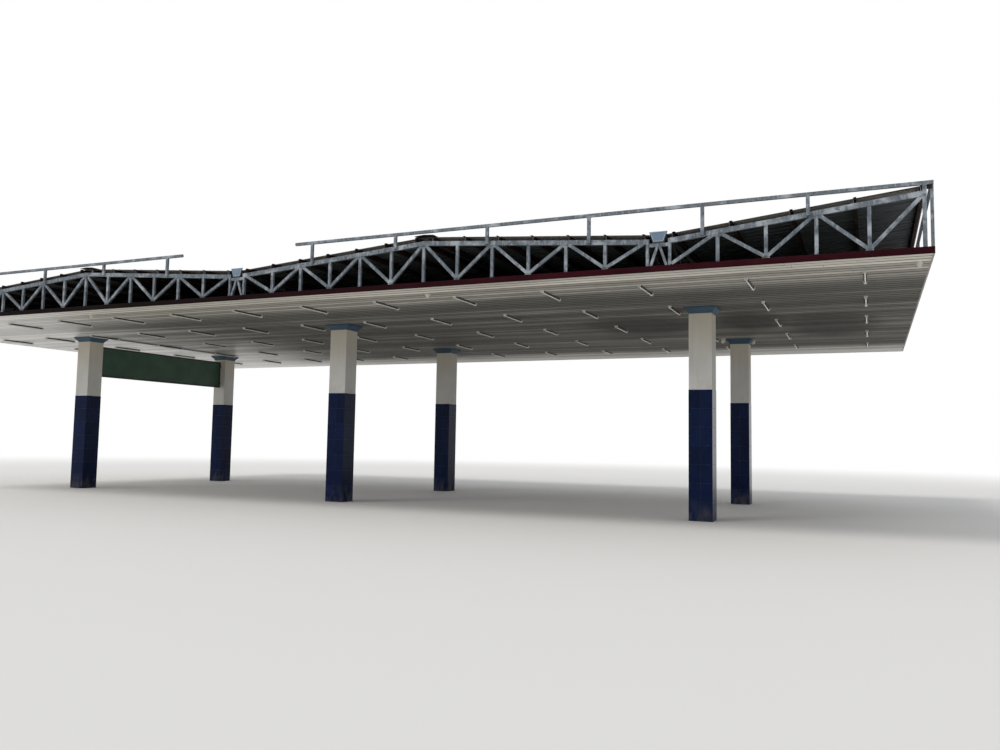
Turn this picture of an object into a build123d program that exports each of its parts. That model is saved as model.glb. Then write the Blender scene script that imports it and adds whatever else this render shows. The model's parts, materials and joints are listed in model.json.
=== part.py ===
from build123d import *
import os
from math import atan2, degrees, hypot

os.makedirs("parts", exist_ok=True)

# A filling station canopy: six square columns in three lines carry box girders, and open trusses
# between them carry a roof of low gables. All lengths are in millimetres. X runs along the canopy,
# Y from its front to its rear and Z up. The origin is on the ground under the middle of the plan.

# Plan
bay = 9550.0  # between two column lines, along X
wing = 4370.0  # from an outer column line to the end of the canopy
row_spacing = 6000.0  # between the two rows of columns, along Y
overhang = 4290.0  # from a row of columns to the front or rear edge

# Columns
column_width = 505.0
tile_height = 2860.0  # glazed tiles on the lower part of a column
tile_thickness = 6.0
capital_height = 150.0
capital_flare = 90.0  # how far the top of a capital stands out from the column
capital_band = 40.0  # upright edge at the top of a capital

# Ceiling
ceiling_height = 4700.0  # underside above the ground
ceiling_thickness = 15.0
ceiling_clearance = 5.0  # around a column that passes through
joist_height = 30.0
joist_width = 50.0
bay_joists = 8
wing_joists = 4

# Edge beams, channels that open inwards
beam_depth = 90.0
beam_wall = 6.0
upright_seat = 10.0  # part of a girder's end upright that stands past the beam, on the lower chord

# Trusses and box girders
chord_rise = 600.0  # top of the upper chords above the ceiling's underside, at the gutters
ridge_rise = 350.0  # from there up to the ridge of a gable
wing_rise = 425.0  # from there up to the end of a wing
chord_depth = 90.0
chord_thickness = 60.0
web_width = 60.0
web_thickness = 50.0
gable_panels = 12
wing_panels = 5
girder_width = 460.0
overhang_panels = 3  # panels of a box girder outside a row of columns
middle_panels = 4  # panels of a box girder between the rows
cross_bar_seat = 10.0  # height in which a girder's upper cross bars meet its chords
cross_bar_depth = 65.0
leg_width = 45.0  # sloping legs under a cross bar
leg_spread = 25.0  # between the feet of the legs and the girder's sides

# Roof
purlin_depth = 100.0
purlin_width = 50.0
purlin_wall = 4.0
slope_purlins = 7  # on each side of a gable
wing_purlins = 5
ridge_setback = 170.0  # from the ridge to the nearest purlin
sheet_thickness = 5.0
sheet_ribs = 9
rib_height = 25.0
rib_top = 40.0
rib_foot = 80.0
sheet_lap = 110.0  # over the gutter
sheet_overhang = 30.0  # past the end of a wing's trusses
sheet_margin = 90.0  # from a sheet's edge to the outer face of the trusses
ridge_gap = 15.0  # from the end of a sheet to the ridge
cap_width = 220.0  # each side of a ridge cap
cap_thickness = 3.0

# Valley gutters, between the upper chords of the girders
gutter_bottom_width = 200.0
gutter_end_width = 330.0  # along the top of the plates that close its ends
gutter_end_rise = 130.0  # top of those plates above the chords
gutter_wall = 4.0
gutter_clearance = 6.0  # under the sheets

# Rails and posts of the fascia frame
rail_rise = 1100.0  # underside of the rail above the ceiling's underside
rail_depth = 60.0
post_width = 60.0
post_thickness = 50.0
post_lap = 70.0  # over the face of the upper chord
post_offset = 780.0  # from an outer column line to the first post on the wing
gable_post_bays = 10  # between the two posts that stand there
wing_post_bays = 2
side_post_bays = 7
side_post_width = 40.0
gap_left = -1600.0  # the stretch of the front rail that is missing
gap_right = 1630.0

# Light fittings
light_columns = 14
light_rows = 5
lights_per_bay = 4.81  # pitches of the fittings in one bay, along X
light_row_pitch = 2675.0
light_setback = 1590.0  # from the front edge to the middle of the first row
light_length = 1050.0
light_width = 80.0
light_back_width = 50.0
light_height = 55.0

# Sign board between the left columns
sign_bottom = 3500.0
sign_height = 960.0
sign_frame_width = 50.0
sign_frame_depth = 70.0
sign_panel_depth = 40.0

# Places that follow from the sizes above
half_length = bay + wing
half_depth = row_spacing / 2 + overhang
column_lines = [-bay, 0.0, bay]
rows = [-row_spacing / 2, row_spacing / 2]
ceiling_top = ceiling_height + ceiling_thickness
beam_top = ceiling_top + beam_depth
lower_chord_bottom = ceiling_top + joist_height
lower_chord_depth = beam_top - lower_chord_bottom
chord_low = ceiling_height + chord_rise
cross_bar_top = chord_low - chord_depth + cross_bar_seat
rail_bottom = ceiling_height + rail_rise
truss_face = half_depth - post_thickness  # outer face of the front and rear trusses
truss_line = truss_face - chord_thickness / 2
beam_width = post_thickness + web_width - upright_seat
beam_inner = half_depth - beam_width
gable_span = bay - girder_width
half_gable = gable_span / 2
wing_span = wing - beam_width - girder_width / 2
gables = {"left_gable": -bay / 2, "right_gable": bay / 2}


def save(piece, name):
    """Names a finished piece and writes it to its own file."""
    piece.label = name
    export_step(piece, f"parts/{name}.step")


def placed(piece, *places):
    """Copies of a piece that was drawn at the origin, one at each place."""
    with BuildPart() as copies:
        with Locations(*places):
            add(piece)
    return copies.part


def bar(start, end, width):
    """Draws one straight member in the sketch that is open."""
    run, rise = end[0] - start[0], end[1] - start[1]
    with Locations(((start[0] + end[0]) / 2, (start[1] + end[1]) / 2)):
        Rectangle(hypot(run, rise), width, rotation=degrees(atan2(rise, run)))


# Capital, drawn at the origin: a band above a flare that starts at the collar's width
capital_foot = column_width / 2 + tile_thickness
capital_head = column_width / 2 + capital_flare
capital_bottom = ceiling_height - capital_height
band_bottom = ceiling_height - capital_band
capital_outline = [
    (-capital_foot, capital_bottom), (capital_foot, capital_bottom), (capital_head, band_bottom),
    (capital_head, ceiling_height), (-capital_head, ceiling_height), (-capital_head, band_bottom),
]
with BuildPart() as capital:
    for side_view, mode in [(Plane.XZ, Mode.ADD), (Plane.YZ, Mode.INTERSECT)]:
        with BuildSketch(side_view):
            with BuildLine():
                Polyline(*capital_outline, close=True)
            make_face()
        extrude(amount=2 * capital_head, both=True, mode=mode)
    with BuildSketch(Plane.XY.offset(ceiling_height)):
        Rectangle(column_width, column_width)
    extrude(amount=-capital_height, mode=Mode.SUBTRACT)

# Columns, with a collar of tiles below and a capital above
for row, y in zip(["front", "rear"], rows):
    for side, x in zip(["left", "middle", "right"], column_lines):
        with BuildPart() as column:
            with BuildSketch():
                with Locations((x, y)):
                    Rectangle(column_width, column_width)
            extrude(amount=lower_chord_bottom)
        save(column.part, f"column_{row}_{side}")

    with BuildPart() as tiles:
        with BuildSketch():
            with Locations(*[(x, y) for x in column_lines]):
                Rectangle(column_width + 2 * tile_thickness, column_width + 2 * tile_thickness)
                Rectangle(column_width, column_width, mode=Mode.SUBTRACT)
        extrude(amount=tile_height)
    save(tiles.part, f"column_tiles_{row}")

    save(placed(capital.part, *[(x, y) for x in column_lines]), f"capitals_{row}")


# Ceiling, one level sheet with a hole for each column
with BuildPart() as ceiling:
    with BuildSketch(Plane.XY.offset(ceiling_height)):
        Rectangle(2 * half_length, 2 * half_depth)
        with GridLocations(bay, row_spacing, len(column_lines), len(rows)):
            Rectangle(
                column_width + 2 * ceiling_clearance, column_width + 2 * ceiling_clearance, mode=Mode.SUBTRACT
            )
    extrude(amount=ceiling_thickness)
save(ceiling.part, "ceiling")

# Joists on the ceiling, along Y between the edge beams
joist_places = [bay * (i + 0.5) / bay_joists for i in range(bay_joists)]
wing_pitch = (wing - beam_width) / wing_joists
joist_places += [bay + wing_pitch * (i + 0.5) for i in range(wing_joists)]
with BuildPart() as joists:
    with BuildSketch(Plane.XY.offset(ceiling_top)):
        with Locations(*[(x, 0) for x in joist_places]):
            Rectangle(joist_width, 2 * beam_inner)
        mirror(about=Plane.YZ)
    extrude(amount=joist_height)
save(joists.part, "ceiling_joists")


# Edge beams, a channel along each side of the ceiling with mitred corners
def edge_beam(corner, along, inward, length):
    """A channel from one corner of the canopy to the next, open on its inner side."""
    start = Vector(corner[0], corner[1], ceiling_top)
    finish = start + Vector(along) * length
    with BuildPart() as beam:
        with BuildSketch(Plane(origin=start, x_dir=inward, z_dir=along)):
            with Locations((beam_width / 2, beam_depth / 2)):
                Rectangle(beam_width, beam_depth)
            with Locations(((beam_width + beam_wall) / 2, beam_depth / 2)):
                Rectangle(beam_width - beam_wall, beam_depth - 2 * beam_wall, mode=Mode.SUBTRACT)
        extrude(amount=length)
        split(bisect_by=Plane(origin=start, z_dir=Vector(along) - Vector(inward)), keep=Keep.TOP)
        split(bisect_by=Plane(origin=finish, z_dir=Vector(along) + Vector(inward)), keep=Keep.BOTTOM)
    return beam.part


save(edge_beam((-half_length, -half_depth), (1, 0, 0), (0, 1, 0), 2 * half_length), "edge_beam_front")
save(edge_beam((half_length, -half_depth), (0, 1, 0), (-1, 0, 0), 2 * half_depth), "edge_beam_right")
save(edge_beam((half_length, half_depth), (-1, 0, 0), (0, -1, 0), 2 * half_length), "edge_beam_rear")
save(edge_beam((-half_length, half_depth), (0, -1, 0), (1, 0, 0), 2 * half_depth), "edge_beam_left")


# Box girders over the column lines: two lattice sides joined by cross bars, with sloping legs at the ends
outer_panel = (truss_line - row_spacing / 2) / overhang_panels
girder_nodes = [outer_panel * i - truss_line for i in range(overhang_panels)]
girder_nodes += [row_spacing * (i / middle_panels - 0.5) for i in range(middle_panels + 1)]
girder_nodes += [-y for y in reversed(girder_nodes[:overhang_panels])]
web_low = beam_top + web_width / 2
web_high = chord_low - chord_depth / 2
girder_side = (girder_width - chord_thickness) / 2  # from the middle of a girder to each lattice
girder_inner = girder_side - chord_thickness / 2

with BuildSketch() as girder_chords:
    with Locations((0, web_high)):
        Rectangle(2 * truss_face, chord_depth)
    with Locations((0, beam_top - lower_chord_depth / 2)):
        Rectangle(2 * beam_inner, lower_chord_depth)

with BuildSketch() as girder_webs:
    for y in girder_nodes:
        bar((y, beam_top), (y, web_high), web_width)
    for i, (here, there) in enumerate(zip(girder_nodes, girder_nodes[1:])):
        bar((here, [web_high, web_low][i % 2]), (there, [web_low, web_high][i % 2]), web_width)
    with Locations((0, (beam_top + web_high) / 2)):
        Rectangle(2 * truss_face, web_high - beam_top, mode=Mode.INTERSECT)

cross_middle = cross_bar_top - cross_bar_depth / 2
leg_foot = girder_inner - leg_spread
with BuildSketch() as end_frame:
    bar((-girder_inner, cross_middle), (girder_inner, cross_middle), cross_bar_depth)
    for sign in (-1, 1):
        bar((sign * leg_width / 3, cross_middle), (sign * leg_foot, beam_top), leg_width)
    with Locations((0, (beam_top + cross_bar_top) / 2)):
        Rectangle(2 * girder_inner, cross_bar_top - beam_top, mode=Mode.INTERSECT)

with BuildPart() as girder:
    for x in (-girder_side, girder_side):
        with BuildSketch(Plane.YZ.offset(x)):
            add(girder_chords.sketch)
        extrude(amount=chord_thickness / 2, both=True)
        with BuildSketch(Plane.YZ.offset(x)):
            add(girder_webs.sketch)
        extrude(amount=web_thickness / 2, both=True)

with BuildPart() as cross_bars:
    for y in (girder_nodes[0], girder_nodes[-1]):
        with BuildSketch(Plane.XZ.offset(-y)):
            add(end_frame.sketch)
        extrude(amount=web_thickness / 2, both=True)
    for y in girder_nodes[1:-1]:
        for top, depth in ((beam_top, lower_chord_depth), (cross_bar_top, cross_bar_depth)):
            with BuildSketch(Plane((0, y, top))):
                Rectangle(2 * girder_inner, web_thickness)
            extrude(amount=-depth)

for side, x in zip(["left", "middle", "right"], column_lines):
    save(placed(girder.part, (x, 0, 0)), f"box_girder_{side}")
save(placed(cross_bars.part, *[(x, 0, 0) for x in column_lines]), "girder_cross_bars")


# Trusses across the canopy. Each is drawn from its gutter end: the top chord first, then the webs.
def gable_top(u):
    """Height of the top of a gable's chord, u from the middle of the gable."""
    return chord_low + ridge_rise * (1 - abs(u) / half_gable)


def wing_top(u):
    """Height of the top of a wing's chord, u from the girder."""
    return chord_low + wing_rise * u / wing_span


def web_members(nodes, top, first_is_high):
    """Draws an upright at each inner node and sloping members that meet high and low by turns."""
    for u in nodes[1:-1]:
        bar((u, beam_top), (u, top(u) - chord_depth / 2), web_width)
    for i, (here, there) in enumerate(zip(nodes, nodes[1:])):
        ends = [(here, top(here) - chord_depth / 2), (there, web_low)]
        if (i % 2 == 0) != first_is_high:
            ends = [(here, web_low), (there, top(there) - chord_depth / 2)]
        bar(*ends, web_width)


with BuildSketch() as gable_chord:
    with BuildLine():
        Polyline(
            (-half_gable, chord_low), (0, gable_top(0)), (half_gable, chord_low),
            (half_gable, chord_low - chord_depth), (0, gable_top(0) - chord_depth),
            (-half_gable, chord_low - chord_depth), close=True,
        )
    make_face()

with BuildSketch() as gable_webs:
    gable_nodes = [gable_span * (i / gable_panels - 0.5) for i in range(gable_panels + 1)]
    web_members(gable_nodes, gable_top, True)
    with Locations((0, (beam_top + gable_top(0)) / 2)):
        Rectangle(gable_span, gable_top(0) - beam_top, mode=Mode.INTERSECT)

with BuildSketch() as wing_chord:
    with BuildLine():
        Polyline(
            (0, chord_low), (wing_span, wing_top(wing_span)),
            (wing_span, wing_top(wing_span) - chord_depth), (0, chord_low - chord_depth), close=True,
        )
    make_face()

with BuildSketch() as wing_webs:
    last_upright = wing_span - web_width / 2
    wing_nodes = [last_upright * i / wing_panels for i in range(wing_panels + 1)]
    web_members(wing_nodes, wing_top, False)
    bar((last_upright, beam_top), (last_upright, wing_top(last_upright) - chord_depth / 2), web_width)
    with Locations((wing_span / 2, (beam_top + wing_top(wing_span)) / 2)):
        Rectangle(wing_span, wing_top(wing_span) - beam_top, mode=Mode.INTERSECT)


def truss(chord, webs, lower_chord):
    """One truss at the origin: chord and webs, and a lower chord from start to finish if it has one."""
    with BuildPart() as lattice:
        with BuildSketch(Plane.XZ):
            add(chord.sketch)
            if lower_chord:
                middle = beam_top - lower_chord_depth / 2
                bar((lower_chord[0], middle), (lower_chord[1], middle), lower_chord_depth)
        extrude(amount=chord_thickness / 2, both=True)
        with BuildSketch(Plane.XZ):
            add(webs.sketch)
        extrude(amount=web_thickness / 2, both=True)
    return lattice.part


def gable_places(y):
    """Where the gable trusses of one line stand."""
    return {name: Location((x, y, 0)) for name, x in gables.items()}


def wing_places(y):
    """Where the wing trusses of one line stand; the left one is turned about."""
    reach = bay + girder_width / 2
    return {"left_wing": Location((-reach, y, 0), (0, 0, 180)), "right_wing": Location((reach, y, 0))}


edge_gable = truss(gable_chord, gable_webs, None)
edge_wing = truss(wing_chord, wing_webs, None)
inner_gable = truss(gable_chord, gable_webs, (-half_gable, half_gable))
inner_wing = truss(wing_chord, wing_webs, (0, wing_span))

for name, place in gable_places(-truss_line).items():
    save(placed(edge_gable, place), f"truss_front_{name}")
for name, place in wing_places(-truss_line).items():
    save(placed(edge_wing, place), f"truss_front_{name}")

lines = [
    ("front_row", rows[0], inner_gable, inner_wing),
    ("rear_row", rows[1], inner_gable, inner_wing),
    ("rear", truss_line, edge_gable, edge_wing),
]
for line, y, gable, side_wing in lines:
    with BuildPart() as across:
        with Locations(*gable_places(y).values()):
            add(gable)
        with Locations(*wing_places(y).values()):
            add(side_wing)
    save(across.part, f"trusses_{line}")


# Roof slopes, each with its low end at a girder: name, side it rises to, low end, run and rise
slopes = {
    "left_wing": (-1, -bay - girder_width / 2, wing_span, wing_rise),
    "left_gable_left": (1, -bay + girder_width / 2, half_gable, ridge_rise),
    "left_gable_right": (-1, -girder_width / 2, half_gable, ridge_rise),
    "right_gable_left": (1, girder_width / 2, half_gable, ridge_rise),
    "right_gable_right": (-1, bay - girder_width / 2, half_gable, ridge_rise),
    "right_wing": (1, bay + girder_width / 2, wing_span, wing_rise),
}


def purlin_places(name):
    """Distances of a slope's purlins from its low end, measured up the slope."""
    sign, low, run, rise = slopes[name]
    slope = hypot(run, rise)
    if name.endswith("wing"):
        count, last = wing_purlins, slope - purlin_width
    else:
        count, last = slope_purlins, slope - ridge_setback
    return [purlin_width + (last - purlin_width) * i / (count - 1) for i in range(count)]


def purlins(names):
    """The channels along Y on the named slopes, laid on the chords of the trusses."""
    with BuildPart() as channels:
        for name in names:
            sign, low, run, rise = slopes[name]
            place = Plane((low, 0, chord_low), x_dir=(sign * run, 0, rise), z_dir=(0, -sign, 0))
            with BuildSketch(place):
                middles = [(s, purlin_depth / 2) for s in purlin_places(name)]
                with Locations(*middles):
                    Rectangle(purlin_width, purlin_depth)
                with Locations(*[(s + purlin_wall, h) for s, h in middles]):
                    Rectangle(purlin_width, purlin_depth - 2 * purlin_wall, mode=Mode.SUBTRACT)
            extrude(amount=truss_face, both=True)
    return channels.part


save(purlins(["left_wing"]), "purlins_left_wing")
save(purlins(["left_gable_left", "left_gable_right"]), "purlins_left_gable")
save(purlins(["right_gable_left", "right_gable_right"]), "purlins_right_gable")
save(purlins(["right_wing"]), "purlins_right_wing")


# Roof sheets with ribs up the slope, on the purlins
rib_pitch = (2 * (truss_face - sheet_margin) - rib_foot) / (sheet_ribs - 1)
sheet_line = []
for i in range(sheet_ribs):
    middle = rib_pitch * (i - (sheet_ribs - 1) / 2)
    for offset, height in [(-rib_foot, 0.0), (-rib_top, rib_height), (rib_top, rib_height), (rib_foot, 0.0)]:
        sheet_line.append((middle + offset / 2, height))
under_line = [(y, h + sheet_thickness) for y, h in reversed(sheet_line)]

for name, (sign, low, run, rise) in slopes.items():
    slope = hypot(run, rise)
    climb = Vector(sign * run / slope, 0, rise / slope)
    lift = Vector(-sign * rise / slope, 0, run / slope) * purlin_depth
    sheet_end = slope + sheet_overhang if name.endswith("wing") else slope - ridge_gap
    start = Vector(low, 0, chord_low) + lift - climb * sheet_lap
    with BuildPart() as sheet:
        with BuildSketch(Plane(origin=start, x_dir=(0, sign, 0), z_dir=climb)):
            with BuildLine():
                Polyline(*sheet_line, *under_line, close=True)
            make_face()
        extrude(amount=sheet_end + sheet_lap)
    save(sheet.part, f"roof_sheet_{name}")

# Ridge caps, folded plates that lie on the ribs of the sheets
cap_run = cap_width * half_gable / hypot(half_gable, ridge_rise)
cap_fall = cap_width * ridge_rise / hypot(half_gable, ridge_rise)
roof_lift = (purlin_depth + sheet_thickness + rib_height) * hypot(half_gable, ridge_rise) / half_gable
cap_bottom = gable_top(0) + roof_lift
with BuildPart() as caps:
    for x in gables.values():
        with BuildSketch(Plane((x, 0, cap_bottom), x_dir=(1, 0, 0), z_dir=(0, -1, 0))):
            with BuildLine():
                Polyline(
                    (-cap_run, -cap_fall), (0, 0), (cap_run, -cap_fall),
                    (cap_run, cap_thickness - cap_fall), (0, cap_thickness),
                    (-cap_run, cap_thickness - cap_fall), close=True,
                )
            make_face()
        extrude(amount=truss_face, both=True)
save(caps.part, "ridge_caps")

# Valley gutters on the cross bars of the girders, troughs whose end plates stand higher than the sheets
gutter_slope = max(ridge_rise / half_gable, wing_rise / wing_span)
gutter_top = chord_low + purlin_depth - gutter_slope * sheet_lap - gutter_clearance
gutter_end_top = chord_low + gutter_end_rise
gutter_taper = (gutter_end_width - gutter_bottom_width) / 2 / (gutter_end_top - cross_bar_top)


def trough_outline(inset, top):
    """Corners of a section that reaches up to top, or of the hollow in it when there is an inset."""
    narrow = gutter_bottom_width / 2 + gutter_taper * inset - inset
    wide = gutter_bottom_width / 2 + gutter_taper * (top - cross_bar_top) - inset
    low = cross_bar_top + inset
    return [(-narrow, low), (narrow, low), (wide, top), (-wide, top)]


for side, x in zip(["left", "middle", "right"], column_lines):
    place = Plane((x, 0, 0), x_dir=(1, 0, 0), z_dir=(0, -1, 0))
    with BuildPart() as gutter:
        with BuildSketch(place):
            with BuildLine():
                Polyline(*trough_outline(0, gutter_end_top), close=True)
            make_face()
        extrude(amount=truss_face, both=True)
        with BuildSketch(place):
            with BuildLine():
                Polyline(*trough_outline(gutter_wall, gutter_end_top), close=True)
            make_face()
        extrude(amount=truss_face - gutter_wall, both=True, mode=Mode.SUBTRACT)
        with BuildSketch(Plane((x, 0, gutter_top))):
            Rectangle(gutter_end_width, 2 * (truss_face - gutter_wall))
        extrude(amount=gutter_end_top - gutter_top, mode=Mode.SUBTRACT)
    save(gutter.part, f"gutter_{side}")


# Rails and posts that frame the fascia
def post_foot(x):
    """Height of the foot of a front or rear post, on the chord or on a girder's cross bar."""
    line = min(column_lines, key=lambda place: abs(place - x))
    if abs(x - line) < girder_width / 2:
        return cross_bar_top - cross_bar_depth
    if abs(x) > bay:
        return wing_top(abs(x) - bay - girder_width / 2) - post_lap
    return gable_top(abs(x) - bay / 2) - post_lap


end_post = half_length - beam_width - post_width / 2
inner_pitch = 2 * (bay + post_offset) / gable_post_bays
wing_posts = [bay + post_offset + (end_post - bay - post_offset) * (i + 1) / wing_post_bays
              for i in range(wing_post_bays)]
post_places = [inner_pitch * (i - gable_post_bays / 2) for i in range(gable_post_bays + 1)]
post_places += wing_posts + [-x for x in wing_posts]


def long_rail(start, finish, face):
    """A rail along X from start to finish, with the posts that stand under it."""
    with BuildPart() as frame:
        with BuildSketch(Plane((0, face, 0), x_dir=(1, 0, 0), z_dir=(0, -1, 0))):
            with Locations(((start + finish) / 2, rail_bottom + rail_depth / 2)):
                Rectangle(finish - start, rail_depth)
            for x in post_places:
                if start < x < finish:
                    bar((x, post_foot(x)), (x, rail_bottom + rail_depth / 2), post_width)
        extrude(amount=post_thickness)
    return frame.part


save(long_rail(-half_length, gap_left, -truss_face), "rail_front_left")
save(long_rail(gap_right, half_length, -truss_face), "rail_front_right")
save(long_rail(-half_length, half_length, half_depth), "rail_rear")

side_pitch = (2 * truss_face - side_post_width) / side_post_bays
for side, x in (("left", -half_length), ("right", half_length - post_thickness)):
    with BuildPart() as side_frame:
        with BuildSketch(Plane.YZ.offset(x)):
            with Locations((0, rail_bottom + rail_depth / 2)):
                Rectangle(2 * truss_face, rail_depth)
            with Locations((0, (beam_top + rail_bottom) / 2)):
                with GridLocations(side_pitch, 1, side_post_bays + 1, 1):
                    Rectangle(side_post_width, rail_bottom - beam_top)
        extrude(amount=post_thickness)
    save(side_frame.part, f"rail_{side}")


# Light fittings, tapered battens on the ceiling with their length along Y
light_pitch = bay / lights_per_bay
light_places = [light_pitch * (i - (light_columns - 1) / 2) for i in range(light_columns)]
for row in range(light_rows):
    y = light_setback + light_row_pitch * row - half_depth
    with BuildPart() as lights:
        for x in light_places:
            with BuildSketch(Plane((x, y, ceiling_height), x_dir=(1, 0, 0), z_dir=(0, -1, 0))):
                with BuildLine():
                    Polyline(
                        (-light_width / 2, 0), (light_width / 2, 0),
                        (light_back_width / 2, -light_height), (-light_back_width / 2, -light_height),
                        close=True,
                    )
                make_face()
        extrude(amount=light_length / 2, both=True)
    save(lights.part, f"lights_row_{row + 1}")


# Sign board between the two left columns, a bare panel in a frame
sign_middle = Vector(-bay, 0, sign_bottom + sign_height / 2)
sign_length = row_spacing - column_width
panel_size = (sign_length - 2 * sign_frame_width, sign_height - 2 * sign_frame_width)
with BuildPart() as sign_frame:
    with BuildSketch(Plane(origin=sign_middle, x_dir=(0, 1, 0), z_dir=(1, 0, 0))):
        Rectangle(sign_length, sign_height)
        Rectangle(*panel_size, mode=Mode.SUBTRACT)
    extrude(amount=sign_frame_depth / 2, both=True)
save(sign_frame.part, "sign_frame")

with BuildPart() as sign_panel:
    with BuildSketch(Plane(origin=sign_middle, x_dir=(0, 1, 0), z_dir=(1, 0, 0))):
        Rectangle(*panel_size)
    extrude(amount=sign_panel_depth / 2, both=True)
save(sign_panel.part, "sign_panel")
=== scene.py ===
"""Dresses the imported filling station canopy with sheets, ceiling strips, tiles, fittings and finishes."""

import json
import logging
import math
from collections.abc import Callable, Iterable
from dataclasses import dataclass
from enum import Enum
from functools import partial

import bmesh
import bpy
from mathutils import Matrix, Vector

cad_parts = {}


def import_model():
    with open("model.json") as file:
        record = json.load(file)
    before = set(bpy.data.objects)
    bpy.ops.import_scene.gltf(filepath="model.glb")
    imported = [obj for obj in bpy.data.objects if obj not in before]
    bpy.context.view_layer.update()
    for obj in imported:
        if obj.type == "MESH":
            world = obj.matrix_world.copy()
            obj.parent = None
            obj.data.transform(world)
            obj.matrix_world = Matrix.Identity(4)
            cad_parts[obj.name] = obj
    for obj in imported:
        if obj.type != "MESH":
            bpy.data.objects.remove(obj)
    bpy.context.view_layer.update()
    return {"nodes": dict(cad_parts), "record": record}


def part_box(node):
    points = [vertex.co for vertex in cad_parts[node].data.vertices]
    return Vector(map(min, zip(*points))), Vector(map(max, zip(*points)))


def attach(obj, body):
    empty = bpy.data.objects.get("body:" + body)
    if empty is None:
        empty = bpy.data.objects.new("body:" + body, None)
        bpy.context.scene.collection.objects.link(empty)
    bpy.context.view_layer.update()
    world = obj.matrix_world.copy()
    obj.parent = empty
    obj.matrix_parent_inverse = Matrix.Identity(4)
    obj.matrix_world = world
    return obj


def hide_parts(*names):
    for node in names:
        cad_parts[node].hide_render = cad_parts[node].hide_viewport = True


Colour = tuple[float, float, float]
Place = tuple[float, float, float]  # also a size or an angle for each axis
Pair = tuple[float, float]
Material = bpy.types.Material
Step = Callable[[], object]
Test = Callable[[Vector, Vector], bool]

LOG = logging.getLogger("canopy")
BODY = "root"
OWN_FINISH = {"gutter": "zinc_trough", "ridge": "ridge_metal"}  # by the first word of a node's name
# painted shade patches on the ceiling
SHADE_PATCHES = ((12.1, 0.6, 1.1, 2.3), (7.6, -0.6, 1.4, 1.8), (10.3, -0.7, 0.8, 1.8))  # middles and reaches, X and Y
OUTER_STEEL = (0.12, 0.08)  # metres inwards along X and Y in which the steel has its outer paint
WHITE = (1.0, 1.0, 1.0)
NEAR = 1e-4  # metres within which two places are the same
MOSTLY = 0.9  # share of a direction that counts as that direction
QUARTER = math.pi / 2


class Part(Enum):
    """Kinds of mesh element that can be picked in edit mode."""

    FACE = "FACE"
    EDGE = "EDGE"
    CORNER = "VERT"


class Side(Enum):
    """The long sides of the canopy, with the sign of their Y."""

    FRONT = -1
    REAR = 1


# ---- modelling -------------------------------------------------------------------------------------


def deselect() -> None:
    """Leaves object mode with nothing selected."""
    if bpy.context.object and bpy.context.object.mode != "OBJECT":
        bpy.ops.object.mode_set(mode="OBJECT")
    bpy.ops.object.select_all(action="DESELECT")


def shifted(x: float, y: float, z: float) -> Matrix:
    """A matrix that moves a copy by x, y and z."""
    return Matrix.Translation((x, y, z))


def turned(angle: float, axis: str = "Z") -> Matrix:
    """A matrix that turns a copy about an axis through the origin."""
    return Matrix.Rotation(angle, 4, axis)


def facing(x: float, y: float, z: float) -> Test:
    """A test for faces that look in a direction."""
    return lambda at, way: way.dot(Vector((x, y, z))) > MOSTLY


def inset(thickness: float, depth: float = 0.0) -> Step:
    """A step that insets the picked faces."""
    return partial(bpy.ops.mesh.inset, thickness=thickness, depth=depth)


def pushed(*way: float) -> Step:
    """A step that extrudes the picked faces."""
    return partial(bpy.ops.mesh.extrude_region_move, TRANSFORM_OT_translate={"value": way})


def moved(*way: float) -> Step:
    """A step that moves what is picked."""
    return partial(bpy.ops.transform.translate, value=way)


def scaled(x: float, y: float, centre: Place) -> Step:
    """A step that scales what is picked along X and Y about a point."""
    return partial(bpy.ops.transform.resize, value=(x, y, 1), center_override=centre)


def rounded(radius: float, segments: int) -> Step:
    """A step that rounds the picked edges."""
    return partial(bpy.ops.mesh.bevel, offset=radius, segments=segments, affect="EDGES")


UP, DOWN, TOWARDS_FRONT = facing(0, 0, 1), facing(0, 0, -1), facing(0, -1, 0)
BOTH_ENDS = (turned(0.0), turned(math.pi))


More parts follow.
